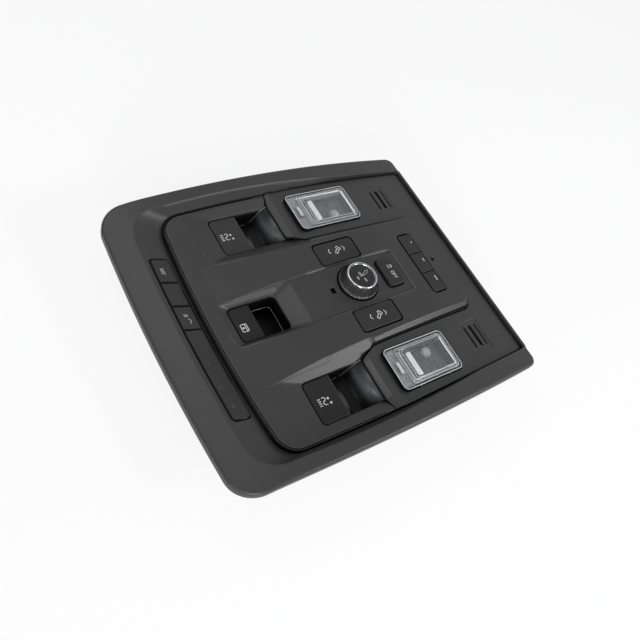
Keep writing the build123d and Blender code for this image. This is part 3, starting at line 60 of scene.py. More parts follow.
# The two open lines in front of the steps, with y from the middle of the lens.
LENS_SHELF = ((2.0, -12.2), (-3.0, -11.4), (-3.9, -10.2), (-3.9, 10.2), (-3.0, 11.4), (2.0, 12.2))
LENS_FRONT = ((-1.0, -13.6), (-5.0, -12.6), (-6.0, -11.2), (-6.0, 11.2), (-5.0, 12.6), (-1.0, 13.6))
LENS_SLOPE_X = -11.6
LENS_SLOPE_BOW = 0.0125  # how much the slope bends, for each mm from its middle squared
LENS_LUGS_X = (-14.0, -10.8, 15.0)
LENS_LUG_Y = 16.5
LENS_LUG_HALF = 0.7
WINDOW_X = 16.2  # dark window in the reflector
WINDOW_Y = 72.4
WINDOW_LENGTH = 39.0
WINDOW_WIDTH = 22.6

WELL_INNER_Y = 54.9
WELL_OUTER_Y = 87.7
WELL_GAP = 0.15
# Height of the painted reflection on each side well's slide.
PAINTED_REFLECTION_Z = -8.0
LEDGE_Z = -14.6
LEDGE_RADIUS = 0.3
PADDLE_EDGE_X = -61.7
PADDLE_EDGE_Y = (54.6, 88.0)

STRIP_X = -134.1
STRIP_HALF_LENGTH = 63.5
STRIP_HALF_WIDTH = 6.9
STRIP_BOW = 1.29  # how far its ends lie behind its middle
STRIP_OUTLINE = (128.0, 15.4, 3.3)  # length, width and corner radius
STRIP_SPLITS = (43.7, 24.2, 5.2)  # y of the partings between its pieces
STRIP_SPLIT_INSET = 0.55

RING_WALL_Y = 98.5
RING_TOP_Y = 107.0
RING_EDGE_FALL = 0.3  # the crest is where the ring's top has fallen by this much
CREST_INSET = 0.1
# Where the scans for the border of the panel and of its raised middle start, and how low they may go.
PANEL_SIDE_Y = 90.5
PANEL_CORNER = (-104.0, 80.0)
PANEL_FRONT_X = -112.0
PANEL_LOW_Z = -6.5
TONGUE_SIDE_Y = 41.0
TONGUE_CORNER = (70.0, 36.0)
TONGUE_REAR_X = 72.0
TONGUE_LOW_Z = -8.0
TONGUE_SIDE_FLANK = 3.7
TONGUE_REAR_FLANK = 2.7
SCAN_STEP = 0.5
SCAN_REACH = 40.0
GROOVE_INSET = 0.75
EDGE_INSET = 1.75
FOOT_INSET = 0.45
CHAMFER_X = -30.1
BAND_STEP = 0.5  # longest step between the points of a band


def place(x, y, z):
    """Point of the drawing frame in millimetres, as a point of the part's frame in metres."""
    return Vector((x * MM + DRAWING_X, y * MM, z * MM + DRAWING_Z))


# ---- materials

SOCKETS = {"metal": "Metallic", "specular": "Specular IOR Level", "ior": "IOR", "transmission": "Transmission Weight"}


class Look:
    """A node material that is built step by step."""

    def __init__(self, name):
        self.material = bpy.data.materials.new(name)
        self.material.use_nodes = True
        self.tree = self.material.node_tree
        self.shader = self.tree.nodes["Principled BSDF"]
        self.place = self.add("ShaderNodeTexCoord").outputs["Object"]

    def add(self, kind, **values):
        node = self.tree.nodes.new(kind)
        for key, value in values.items():
            setattr(node, key, value)
        return node

    def link(self, source, target):
        self.tree.links.new(source, target)

    def set(self, **values):
        for key, value in values.items():
            self.shader.inputs[SOCKETS[key]].default_value = value

    def rough(self, value, low, high):
        self.link(self.spread(value, low, high), self.shader.inputs["Roughness"])

    def noise(self, size, detail):
        node = self.add("ShaderNodeTexNoise")
        node.inputs["Scale"].default_value = 1.0 / size
        node.inputs["Detail"].default_value = detail
        self.link(self.place, node.inputs["Vector"])
        return node.outputs["Fac"]

    def axes(self):
        parts = self.add("ShaderNodeSeparateXYZ")
        self.link(self.place, parts.inputs[0])
        return parts.outputs

    def math(self, kind, first, second=None):
        node = self.add("ShaderNodeMath", operation=kind)
        for value, socket in ((first, node.inputs[0]), (second, node.inputs[1])):
            if isinstance(value, (int, float)):
                socket.default_value = value
            elif value is not None:
                self.link(value, socket)
        return node.outputs[0]

    def beyond(self, value, middle, half):
        """How far a coordinate lies outside a stretch."""
        return self.math("SUBTRACT", self.math("ABSOLUTE", self.math("SUBTRACT", value, middle)), half)

    def spread(self, value, low, high, start=0.3, end=0.7):
        """Range from start to end, mapped to low and high; noise keeps to the default range."""
        node = self.add("ShaderNodeMapRange")
        self.link(value, node.inputs["Value"])
        for name, number in (("From Min", start), ("From Max", end), ("To Min", low), ("To Max", high)):
            node.inputs[name].default_value = number
        return node.outputs["Result"]

    def tint(self, value, dark, light):
        node = self.add("ShaderNodeMix", data_type="RGBA")
        self.link(value, node.inputs["Factor"])
        node.inputs["A"].default_value = (*dark, 1.0)
        node.inputs["B"].default_value = (*light, 1.0)
        self.link(node.outputs["Result"], self.shader.inputs["Base Color"])

    def bump(self, height, distance):
        """Another layer of relief on top of those that are there."""
        node = self.add("ShaderNodeBump")
        node.inputs["Distance"].default_value = distance
        self.link(height, node.inputs["Height"])
        normal = self.shader.inputs["Normal"]
        if normal.is_linked:
            self.link(normal.links[0].from_socket, node.inputs["Normal"])
        self.link(node.outputs["Normal"], normal)

    def soften(self, radius):
        """Sharp moulded edges catch the light as if they were slightly round."""
        node = self.add("ShaderNodeBevel", samples=6)
        node.inputs["Radius"].default_value = radius
        first = self.shader.inputs["Normal"].links[0].from_node
        while first.inputs["Normal"].is_linked:
            first = first.inputs["Normal"].links[0].from_node
        self.link(node.outputs["Normal"], first.inputs["Normal"])


def shades(colour, vary):
    """Darker and lighter shade of a colour."""
    return [c * (1 - vary) for c in colour], [c * (1 + vary) for c in colour]


def grained(name, colour, rough, specular=0.2, grain=0.00045, depth=0.00003, edge=0.0005):
    """Moulded plastic with a fine leathered grain and slightly round edges."""
    look = Look(name)
    look.set(specular=specular)
    fine = look.noise(grain, 2.0)
    broad = look.noise(0.03, 3.0)
    look.tint(look.spread(broad, 0, 1), *shades(colour, 0.1))
    look.rough(fine, rough - 0.06, rough + 0.06)
    look.bump(fine, depth)
    look.bump(broad, 0.00004)
    look.soften(edge)
    return look.material


def satin(name, colour, rough, specular=0.2, edge=0.0005):
    """Moulded plastic with a grain so fine that it looks smooth."""
    return grained(name, colour, rough, specular, grain=0.0003, depth=0.00001, edge=edge)


def glossy(name, colour, rough, specular=0.5):
    """Smooth plastic with a slight unevenness."""
    look = Look(name)
    look.set(specular=specular)
    broad = look.noise(0.02, 2.0)
    look.tint(look.spread(broad, 0, 1), *shades(colour, 0.05))
    look.rough(broad, rough - 0.03, rough + 0.03)
    look.bump(broad, 0.00003)
    return look.material


def metal(name, colour, rough):
    look = Look(name)
    look.set(metal=1.0)
    fine = look.noise(0.0008, 3.0)
    look.tint(look.spread(fine, 0, 1), [c * 0.93 for c in colour], colour)
    look.rough(fine, rough - 0.04, rough + 0.04)
    return look.material


def clear(name, tint, rough):
    look = Look(name)
    look.set(transmission=1.0, ior=1.45, specular=0.5)
    broad = look.noise(0.012, 2.0)
    look.tint(look.spread(broad, 0, 1), [c * 0.98 for c in tint], tint)
    look.rough(broad, rough, rough + 0.03)
    look.bump(broad, 0.00002)
    return look.material


def reflector_look():
    """Pale frame under the lens rim, with a dark window inside it; the pale frame is partly a painted reflection."""
    look = Look("reflector_plastic")
    look.set(specular=0.5)
    axes = look.axes()
    along = look.beyond(axes["X"], WINDOW_X * MM + DRAWING_X, WINDOW_LENGTH * MM / 2)
    across = look.beyond(look.math("ABSOLUTE", axes["Y"]), WINDOW_Y * MM, WINDOW_WIDTH * MM / 2)
    outside = look.math("MAXIMUM", along, across)
    # The pale frame is the reflector's light colour and also a painted reflection under the lens rim.
    frame_and_reflection_share = look.spread(outside, 0, 1, start=-0.05 * MM, end=0.1 * MM)
    look.tint(frame_and_reflection_share, (0.045, 0.045, 0.05), (0.21, 0.215, 0.225))
    broad = look.noise(0.01, 2.0)
    look.rough(broad, 0.25, 0.35)
    look.bump(broad, 0.00002)
    return look.material


def scoop_look():
    """Dark slide with a soft pale band along its steepest part, which is a painted reflection."""
    look = Look("scoop_painted_reflection")
    look.set(specular=0.6)
    away = look.beyond(look.axes()["Z"], PAINTED_REFLECTION_Z * MM + DRAWING_Z, 0.0)
    # Painted reflection: a pale band at one height on the slide, fading above and below it.
    painted_reflection = look.spread(away, 1, 0, start=0.3 * MM, end=4.6 * MM)
    look.tint(painted_reflection, (0.012, 0.0122, 0.013), (0.1, 0.106, 0.116))
    broad = look.noise(0.01, 2.0)
    look.rough(broad, 0.42, 0.5)
    look.bump(broad, 0.00003)
    return look.material


LOOKS = {
    "ring": grained("ring_plastic", (0.021, 0.021, 0.0222), 0.42, 0.36, edge=0.0013),
    "panel": grained("panel_plastic", (0.019, 0.019, 0.0197), 0.4, 0.36, edge=0.0013),
    # Near black, darker than the black plastic: the wells' dark plastic with painted shade for their depth.
    "well": satin("well_plastic_painted_dark", (0.003, 0.003, 0.0032), 0.4, 0.08, edge=0.0007),
    "paddle": grained("paddle_plastic", (0.013, 0.013, 0.0134), 0.45, 0.16, edge=0.0006),
    # Lighter copy of the rocker plastic for the far rocker, painted lighter to stand for the light it catches.
    "paddle_painted_lighter": grained("paddle_plastic_painted_lighter", (0.022, 0.022, 0.022), 0.45, 0.25, edge=0.0006),
    "button": satin("button_plastic", (0.021, 0.021, 0.0215), 0.45, edge=0.0006),
    "strip": satin("strip_plastic", (0.029, 0.028, 0.028), 0.45, edge=0.0003),
    "black": grained("black_plastic", (0.006, 0.006, 0.006), 0.45, 0.1),
    # Lighter plastic laid as painted highlights on rounded edges, over a slight raised crown.
    "painted_highlight": grained("painted_highlight_plastic", (0.05, 0.05, 0.05), 0.36, 0.3, edge=0.0003),
    "rubber": grained("rubber", (0.012, 0.012, 0.012), 0.8),
    "knob": glossy("knob_grip_plastic", (0.012, 0.012, 0.013), 0.28),
    "cap": glossy("knob_cap_plastic", (0.01, 0.01, 0.011), 0.3, 0.25),
    "light_bar": glossy("light_guide", (0.8, 0.8, 0.8), 0.3),
    "dome": glossy("led_lens", (0.3, 0.31, 0.33), 0.2),
    "circuit": glossy("circuit_board", (0.01, 0.06, 0.03), 0.4),
    "sensor": glossy("sensor_window", (0.004, 0.004, 0.005), 0.3, 0.2),
    # Pale beads laid as painted highlights along edges in the finger wells.
    "line": glossy("painted_edge_highlight", (0.16, 0.16, 0.16), 0.3),
    # Slightly lighter than the ring: a painted highlight on the crest's raised crown.
    "crest": glossy("crest_painted_highlight", (0.024, 0.024, 0.0245), 0.42, 0.36),
    # Pale plastic laid as painted highlights on the pocket flank and the lamp arm's chamfer.
    "flank": glossy("painted_flank_highlight", (0.056, 0.056, 0.054), 0.45, 0.3),
    "print": glossy("white_print", (0.62, 0.62, 0.6), 0.5, 0.3),
    "faint": glossy("faint_print", (0.09, 0.09, 0.09), 0.5, 0.2),
    # Black for the gaps: laid wider than the real gaps round the buttons, knob, strip and panel edges, it is painted
    # shade in and beside them; it also draws the rear mark and a line in each lens groove.
    "gap": glossy("gap_and_shade_black", (0.0015, 0.0015, 0.0015), 0.9, 0.0),
    # Pale and bright colours laid on the clear lenses as painted reflections and painted highlights.
    "slope": glossy("painted_lens_slope_reflection", (0.3, 0.31, 0.32), 0.3),
    "edge": glossy("painted_lens_highlight", (0.62, 0.64, 0.66), 0.25),
    "chrome": metal("satin_chrome", (0.52, 0.53, 0.55), 0.14),
    "steel": metal("zinc_steel", (0.5, 0.5, 0.5), 0.35),
    "contact": metal("tinned_contact", (0.7, 0.62, 0.4), 0.3),
    "alloy": metal("alloy", (0.6, 0.6, 0.62), 0.35),
    "lens": clear("lens_plastic", (0.95, 0.96, 0.97), 0.0),
    "reflector": reflector_look(),
    "scoop": scoop_look(),
}
# The first name that a node starts with gives its look.
BY_NODE = (
    ("outer_bezel", "ring"), ("centre_panel", "panel"), ("lamp_panel", "panel"),
    ("side_paddle_left", "paddle_painted_lighter"), ("side_paddle", "paddle"), ("centre_paddle", "paddle"),
    ("side_switch_module", "well"), ("centre_switch_module", "well"),
    ("lamp_button", "button"), ("door_button", "button"), ("home_button", "button"),
    ("strip_button", "strip"), ("indicator_window", "strip"),
    ("knob_skirt", "knob"), ("knob_cap", "cap"), ("knob_ring", "chrome"), ("knob_shaft", "steel"),
    ("lens", "lens"), ("reflector", "reflector"), ("light_bar", "light_bar"), ("led_dome", "dome"),
    ("lamp_housing", "black"), ("lamp_board", "circuit"), ("strip_board", "circuit"), ("main_board", "circuit"),
    ("board_switches", "black"), ("strip_switches", "black"), ("rotary_switch", "black"),
    ("board_screws", "steel"), ("housing_screws", "steel"), ("roof_clips", "steel"),
    ("rear_housing", "black"), ("connector_pins", "contact"), ("connector_socket", "black"),
    ("light_sensor", "sensor"), ("microphone_boot", "rubber"), ("microphone", "alloy"),
)
for name, node in NODES.items():
    look = next(look for start, look in BY_NODE if name.startswith(start))
    node.data.materials.clear()
    node.data.materials.append(LOOKS[look])


# ---- lines in the drawing's plane


def arc(x, y, radius, start, end, count=14):
    turns = [math.radians(start + (end - start) * k / count) for k in range(count + 1)]
    return [(x + radius * math.cos(t), y + radius * math.sin(t)) for t in turns]


def rounded(length, width, radius):
    """Closed rounded rectangle about the origin."""
    line = []
    for sx, sy, start in ((1, 1, 0), (-1, 1, 90), (-1, -1, 180), (1, -1, 270)):
        line += arc(sx * (length / 2 - radius), sy * (width / 2 - radius), radius, start, start + 90, 8)
    return line + line[:1]


def moved(line, x, y):
    return [(x + a, y + b) for a, b in line]


def finer(line, step):
    """The same line with points at most one step apart."""
    points = [line[0]]
    for a, b in zip(line, line[1:]):
        count = max(1, math.ceil(math.dist(a, b) / step))
        points += [(a[0] + (b[0] - a[0]) * k / count, a[1] + (b[1] - a[1]) * k / count)
                   for k in range(1, count + 1)]
    return points


def smooth_line(points):
    """Line with its corners cut three times."""
    for _ in range(3):
        cut = [points[0]]
        for a, b in zip(points, points[1:]):
            cut.append(tuple(p * 0.75 + q * 0.25 for p, q in zip(a, b)))
            cut.append(tuple(p * 0.25 + q * 0.75 for p, q in zip(a, b)))
        points = cut + [points[-1]]
    return points


def offsets(points, half):
    """Points to the left and right of a line, square to it."""
    closed = math.dist(points[0], points[-1]) < 1e-6
    last = len(points) - 1
    pairs = []
    for k, here in enumerate(points):
        before = points[k - 1] if k else points[last - 1] if closed else here
        after = points[k + 1] if k < last else points[1] if closed else here
        along = Vector((after[0] - before[0], after[1] - before[1])).normalized()
        pairs.append(((here[0] - along.y * half, here[1] + along.x * half),
                      (here[0] + along.y * half, here[1] - along.x * half)))
    return pairs


# ---- pieces that lie on the CAD surfaces


def surface(node):
    """Tree of a node's faces, for laying thin pieces on them."""
    mesh = NODES[node].data
    points = [v.co for v in mesh.vertices]
    return BVHTree.FromPolygons(points, [tuple(p.vertices) for p in mesh.polygons])


def drop(tree, x, y):
    """Height of the upper surface below a point of the drawing frame."""
    hit = tree.ray_cast(place(x, y, 60), Vector((0, 0, -1)))[0]
    return hit.z if hit else None


def ribbon(work, tree, line, width, lift, crown, probe):
    """Thin raised band along a line.

    It follows the surface that lies a probe's reach to its right, and breaks off where there is none.
    """
    points = finer(line, BAND_STEP)
    rows = []
    for here, (left, right) in zip(points, offsets(points, width / 2)):
        row = []
        reach = 2 * probe / width
        aside = ((right[0] - here[0]) * reach, (right[1] - here[1]) * reach)
        for (x, y), rise in ((left, 0.0), (here, crown), (right, 0.0)):
            z = drop(tree, x + aside[0], y + aside[1])
            if z is None:
                row = None
                break
            point = place(x, y, 0)
            row.append(work.verts.new((point.x, point.y, z + (lift + rise) * MM)))
        rows.append(row)
    for one, two in zip(rows, rows[1:]):
        if one and two:
            work.faces.new((one[0], one[1], two[1], two[0]))
            work.faces.new((one[1], one[2], two[2], two[1]))


def spot(work, tree, x, y, radius, lift):
    """Small round dot on a surface."""
    ring = []
    for px, py in arc(x, y, radius, 0, 360, 20)[:-1]:
        point = place(px, py, 0)
        ring.append(work.verts.new((point.x, point.y, (drop(tree, px, py) or drop(tree, x, y)) + lift * MM)))
    work.faces.new(ring)


def finished(work, name, body, look, replaced=()):
    """Piece from a bmesh, which rides with a body, has a look's material and may stand for nodes."""
    mesh = bpy.data.meshes.new(name)
    work.to_mesh(mesh)
    work.free()
    mesh.materials.append(LOOKS[look])
    piece = bpy.data.objects.new(name, mesh)
    bpy.context.scene.collection.objects.link(piece)
    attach(piece, body)
    if replaced:
        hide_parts(*replaced)


def laid(name, node, body, look, lines, dots=(), width=0.5, lift=0.04, crown=0.02, probe=0.0):
    """Piece made of bands and dots that lie on a node and ride with its body."""
    tree = surface(node)
    work = bmesh.new()
    for line in lines:
        ribbon(work, tree, line, width, lift, crown, probe)
    for x, y, radius in dots:
        spot(work, tree, x, y, radius, lift)
    bmesh.ops.recalc_face_normals(work, faces=work.faces)
    for face in work.faces:
        if face.normal.z < 0:
            face.normal_flip()
        face.smooth = True
    finished(work, name, body, look)


# ---- printed signs: strokes of u to the right and v to the top, and dots with a radius

SHADE_LINES = (
    [(-2.6, -4.4), (-2.6, -2.5)], [(-1.2, -4.4), (-1.2, -2.5)],
    [(0.2, -4.4), (0.2, -2.5)], [(1.6, -4.4), (1.6, -2.5)],
    [(-2.9, -1.3), (-2.9, 0.2), (-1.9, 0.9), (-0.9, 0.2), (-0.5, -0.9), (0.6, -1.4), (1.7, -0.7), (1.9, 0.8)],
)
SHADE_DOTS = ((-1.5, 2.6, 0.75), (1.6, 3.2, 0.75))
BLIND_LINES = (
    rounded(5.8, 4.6, 0.9), [(-2.9, 1.0), (2.9, 1.0)],
    [(0.0, -1.4), (0.0, 0.5)], [(-0.9, -0.5), (0.0, -1.5), (0.9, -0.5)],
)
LAMP_LINES = (
    [(-5.4, 1.9), (-6.6, 0.0), (-5.4, -1.9)], [(5.4, 1.9), (6.6, 0.0), (5.4, -1.9)],
    [(-2.0, -1.9), (0.8, 0.9), (2.0, -0.3), (-0.8, -3.1), (-2.0, -1.9)],
    [(0.2, 1.6), (1.3, 2.7), (3.6, 0.4), (2.5, -0.7)],
)
OFF_LINES = (
    rounded(2.0, 2.6, 0.8),
    [(1.9, -1.3), (1.9, 1.3), (3.3, 1.3)], [(1.9, 0.1), (3.0, 0.1)],
    [(4.2, -1.3), (4.2, 1.3), (5.6, 1.3)], [(4.2, 0.1), (5.3, 0.1)],
)
BEAM_LINES = (
    [(-6.4, 1.2), (-3.8, 1.2)], arc(-5.1, 1.2, 1.3, 0, 180, 8),
    [(-6.2, -0.4), (-6.6, -1.5)], [(-5.1, -0.4), (-5.1, -1.6)], [(-4.0, -0.4), (-3.6, -1.5)],
)
PHONE_LINES = (
    [(0.4, 1.2), (1.2, 1.9), (2.6, 1.9), (3.4, 1.2)], [(0.2, 0.4), (0.6, 1.4)], [(3.6, 0.4), (3.2, 1.4)],
    [(-3.6, 1.2), (-1.4, 1.2)], [(-3.6, 0.0), (-1.4, 0.0)], [(-3.6, -1.2), (-1.4, -1.2)],
)
LIST_LINES = ([(-2.9, 0.9), (2.9, 0.9)], [(-2.9, -0.1), (1.6, -0.1)], [(-2.9, -1.1), (2.4, -1.1)])
BRACKET_LINES = ([(-1.6, 0.6), (-1.6, -0.5), (1.6, -0.5), (1.6, 0.6)],)
FIRST_LAMP_LINES = ([(-1.2, -1.0), (0.2, 1.2), (1.4, -0.6)],)
FIRST_LAMP_DOTS = ((-0.4, -1.4, 0.3),)
SECOND_LAMP_LINES = (arc(0.0, 0.4, 0.8, 0, 360, 12), [(-1.2, -1.3), (1.2, -1.3)])
THIRD_LAMP_LINES = ([(-1.8, 0.0), (0.4, 0.0)], [(0.4, -1.2), (0.4, 1.2), (2.0, 0.0), (0.4, -1.2)])
POINTER_LINES = ([(6.6, 3.4), (5.2, 0.9), (-1.6, -0.6), (3.6, 2.6), (6.6, 3.4)],)


def sign(x, y, lines, dots=(), size=1.0, turned=False):
    """Symbol whose right is -Y and whose top is +X, or right +X and top +Y where it is turned."""
    def at(u, v):
        return (x + u * size, y + v * size) if turned else (x + v * size, y - u * size)

    return [[at(*point) for point in line] for line in lines], [(*at(u, v), r * size) for u, v, r in dots]


def print_sign(name, node, body, look, where, lines, dots=(), width=0.5, size=1.0, turned=False):
    """One symbol on one node, at a place of the drawing frame."""
    strokes, points = sign(*where, lines, dots, size, turned)
    laid(name, node, body, look, strokes, points, width)


def printed_signs():
    """Plain symbols on the rockers, buttons and the strip, and a painted highlight on the rear edge of each side
    rocker.
    """
    for side, way, shade, lamp in (("left", 1, (-75.0, 70.0), (-3.5, 31.0)),
                                   ("right", -1, (-73.6, -72.6), (-3.5, -30.0))):
        paddle, paddle_body = f"side_paddle_{side}", f"side_paddle_{side}_body"
        print_sign(f"shade_sign_{side}", paddle, paddle_body, "print", shade, SHADE_LINES, SHADE_DOTS,
                   width=0.62, size=1.15)
        edge = [(PADDLE_EDGE_X, way * y) for y in PADDLE_EDGE_Y]
        laid(f"paddle_edge_highlight_{side}", paddle, paddle_body, "painted_highlight", (edge,), width=0.6)
        print_sign(f"lamp_sign_{side}", f"lamp_button_{side}", f"lamp_button_{side}_body", "print", lamp, LAMP_LINES,
                   width=0.58, size=1.1, turned=True)
    print_sign("blind_sign", "centre_paddle", "centre_paddle_body", "print", (-98.6, -3.0), BLIND_LINES, width=0.6)
    print_sign("beam_sign", "door_button", "door_button_body", "print", (29.6, -1.0), BEAM_LINES)
    print_sign("off_sign", "door_button", "door_button_body", "print", (29.6, -1.5), OFF_LINES, width=0.45)
    for k, y in ((1, 19.6), (2, 1.6), (3, -16.6)):
        dots = [((j - (k - 1) / 2) * 1.5, 0.0, 0.62) for j in range(k)]
        print_sign(f"home_sign_{k}", f"home_button_{k}", f"home_button_{k}_body", "print", (65.0, y), (), dots)
    print_sign("list_sign", "strip_button_1", "strip_button_1_body", "print", (-134.0, 53.0), LIST_LINES, width=0.36)
    print_sign("bracket_sign", "strip_button_2", "strip_button_2_body", "faint", (-133.5, 27.4), BRACKET_LINES,
               width=0.3)
    print_sign("call_sign", "strip_button_3", "strip_button_3_body", "print", (-134.0, 14.0), PHONE_LINES, width=0.42)
    print_sign("first_lamp_sign", "indicator_window", "console", "faint", (-136.0, -20.5), FIRST_LAMP_LINES,
               FIRST_LAMP_DOTS, width=0.35)
    print_sign("second_lamp_sign", "indicator_window", "console", "faint", (-136.0, -39.0), SECOND_LAMP_LINES,
               width=0.3)
    print_sign("third_lamp_sign", "indicator_window", "console", "faint", (-134.6, -53.5), THIRD_LAMP_LINES,
               width=0.4)


def knob_signs():
    """Pointer, OFF and the plain marks on the knob's cap, and the dark inner band of its bright ring."""
    laid("knob_ring_bevel", "knob_ring", "knob", "knob", (arc(KNOB_X, 0, KNOB_RING_RADIUS, 0, 360, 72),),
         width=0.7, lift=0.06, crown=0.0)
    letters, _ = sign(-1.4, 2.6, OFF_LINES, size=0.62)
    bars, _ = sign(-4.6, -1.2, LIST_LINES, size=0.5)
    more, _ = sign(0.4, -4.3, LIST_LINES, size=0.55)
    lines = [moved(line, KNOB_X, 0) for line in (*POINTER_LINES, *letters, *bars, *more)]
    laid("knob_sign", "knob_cap", "knob", "print", lines, width=0.24, lift=0.03, crown=0.01)


# ---- edges and gaps on the CAD surfaces


def lens_edges():
    """Painted highlights on the edges of each clear lens: its outer rim, its lugs and the steps inside it, with a
    black line in its groove and a painted reflection on its front slope.
    """
    for side, way in (("left", 1), ("right", -1)):
        middle = LENS_Y * way
        node = f"lens_{side}"
        rim = moved(rounded(*LENS_RIM), LENS_X, middle)
        inner, outer, dark = (moved(rounded(*sizes), LENS_STEP_X, middle)
                              for sizes in (LENS_INNER_STEP, LENS_OUTER_STEP, LENS_GROOVE))
        shelf = moved(LENS_SHELF, 0, middle)
        front = moved(LENS_FRONT, 0, middle)
        slope = [(LENS_SLOPE_X - LENS_SLOPE_BOW * k * k, middle + k) for k in range(-5, 6)]
        lugs = [[(LENS_X + x + end, middle + s * LENS_LUG_Y) for end in (-LENS_LUG_HALF, LENS_LUG_HALF)]
                for x in LENS_LUGS_X for s in (-1, 1)]
        laid(f"lens_rim_{side}", node, "console", "edge", (rim,), width=0.55, lift=0.02, crown=0.12)
        laid(f"lens_lugs_{side}", node, "console", "edge", lugs, width=0.9, lift=0.05, crown=0.25)
        laid(f"lens_step_{side}", node, "console", "edge", (inner, shelf), width=0.35, lift=0.02, crown=0.06)
        laid(f"lens_line_{side}", node, "console", "edge", (outer, front), width=0.22, lift=0.02, crown=0.04)
        laid(f"lens_groove_{side}", node, "console", "gap", (dark,), width=0.28, lift=0.02, crown=0.01)
        laid(f"lens_slope_{side}", node, "console", "slope", (slope,), width=3.6, lift=0.02, crown=0.03)
        laid(f"lens_shine_{side}", node, "console", "edge", (slope[1:-1],), width=1.5, lift=0.05, crown=0.03)


BUTTON_CLEARANCE = 1.0  # how much longer and wider the line of the gap is than the buttons
BUTTON_CORNER = 3.1
# name of the button or row, its middle, length along X, width along Y and the width of its gap's band
BUTTON_GAPS = (
    ("lamp_button_left", -3.7, 30.2, 35.2, 18.0, 1.6), ("lamp_button_right", -3.7, -30.2, 35.2, 18.0, 1.6),
    ("door_button", 28.4, 0.0, 14.0, 24.0, 1.1), ("home_button", 62.0, 0.0, 13.0, 56.2, 1.1),
)


def button_gaps():
    """Black gaps round the buttons and the knob, laid on the panel that frames them, wider than the real gaps:
    painted shade in and beside them.
    """
    for name, x, y, length, width, band in BUTTON_GAPS:
        line = moved(rounded(length + BUTTON_CLEARANCE, width + BUTTON_CLEARANCE, BUTTON_CORNER), x, y)
        laid(f"{name}_gap", "centre_panel", "console", "gap", (line,),
             width=band, lift=0.03, crown=0.0, probe=band - 0.2)
    laid("knob_gap_shade", "centre_panel", "console", "gap", (arc(KNOB_X, 0, KNOB_GAP_RADIUS, 0, 360, 72),),
         width=1.2, lift=0.03, crown=0.0, probe=0.8)


def strip_gaps():
    """Black gaps round the control strip and between its pieces, painted shade in and beside the real gaps."""
    def bowed(x, y):
        return (STRIP_X + x + STRIP_BOW * (y / STRIP_HALF_LENGTH) ** 2, y)

    outline = [bowed(x, y) for y, x in finer(rounded(*STRIP_OUTLINE), 2.0)]
    laid("strip_outline", "outer_bezel", "console", "gap", (outline,), width=0.8, lift=0.03, crown=0.0)
    pieces = (("strip_button_1", "strip_button_1_body"), ("strip_button_2", "strip_button_2_body"),
              ("strip_button_3", "strip_button_3_body"), ("indicator_window", "console"))
    for k, (node, body) in enumerate(pieces):
        ends = [split - STRIP_SPLIT_INSET for split in STRIP_SPLITS[max(k - 1, 0):k]]
        ends += [split + STRIP_SPLIT_INSET for split in STRIP_SPLITS[k:k + 1]]
        lines = [[bowed(-STRIP_HALF_WIDTH, y), bowed(STRIP_HALF_WIDTH, y)] for y in ends]
        laid(f"strip_split_{k + 1}", node, body, "gap", lines, width=0.4, lift=0.03, crown=0.0)


def channel_edge_highlights():
    """Soft raised edges of the channel round the knob, painted lighter as highlights."""
    left = smooth_line([(-38.0, 19.9), (34.0, 19.9), (41.2, 19.4), (41.4, 13.0), (41.4, 0.0)])
    right = [(x, -y) for x, y in left]
    laid("channel_edge_highlights", "centre_panel", "console", "painted_highlight", (left, right), width=1.8, lift=0.01, crown=0.2)


def pocket_edges():
    """Painted highlights on the flank and soft rims of the pockets and on the lamp arm's chamfer, and the mark behind
    the buttons.
    """
    laid("pocket_flank_highlight", "centre_panel", "console", "flank", ([(-107.5, 16.7), (-64.0, 16.7)],),
         width=2.5, lift=0.08, crown=0.0)
    rims = [smooth_line([(-112.6, -4.0), (-112.4, -13.0), (-110.0, -17.8), (-104.0, -18.5), (-62.0, -18.5)]),
            smooth_line([(-99.8, 62.0), (-99.4, 52.0), (-96.5, 47.6), (-90.0, 46.5), (-62.0, 46.4)])]
    laid("pocket_rim_highlights", "centre_panel", "console", "painted_highlight", rims, width=0.9, lift=0.01, crown=0.1)
    laid("arm_chamfer_highlight", "lamp_panel", "console", "flank", ([(CHAMFER_X, -58.0), (CHAMFER_X, -88.0)],),
         width=3.4, lift=0.03, crown=0.0)
    laid("rear_mark", "centre_panel", "console", "gap", ([(73.0, -1.8), (76.2, 0.0), (73.0, 1.8)],),
         ((73.8, 0.0, 1.0),), width=0.6)


def ahead(start, way, reach):
    return (start[0] + way[0] * reach, start[1] + way[1] * reach)


def border(tree, start, way, low):
    """How far a surface reaches along a level line, above a lowest height."""
    def on_surface(reach):
        z = drop(tree, *ahead(start, way, reach))
        return z is not None and z >= low

    inside, outside = 0.0, SCAN_STEP
    while outside < SCAN_REACH and on_surface(outside):
        inside, outside = outside, outside + SCAN_STEP
    for _ in range(5):
        middle = (inside + outside) / 2
        if on_surface(middle):
            inside = middle
        else:
            outside = middle
    return inside


def both_sides(scans):
    """Scans of the left half, and then their mirror images, without the one on the middle line twice."""
    return scans + [((x, -y), (u, -v), *rest) for (x, y), (u, v), *rest in reversed(scans[:-1])]


def heading(degrees):
    turn = math.radians(degrees)
    return (math.cos(turn), math.sin(turn))


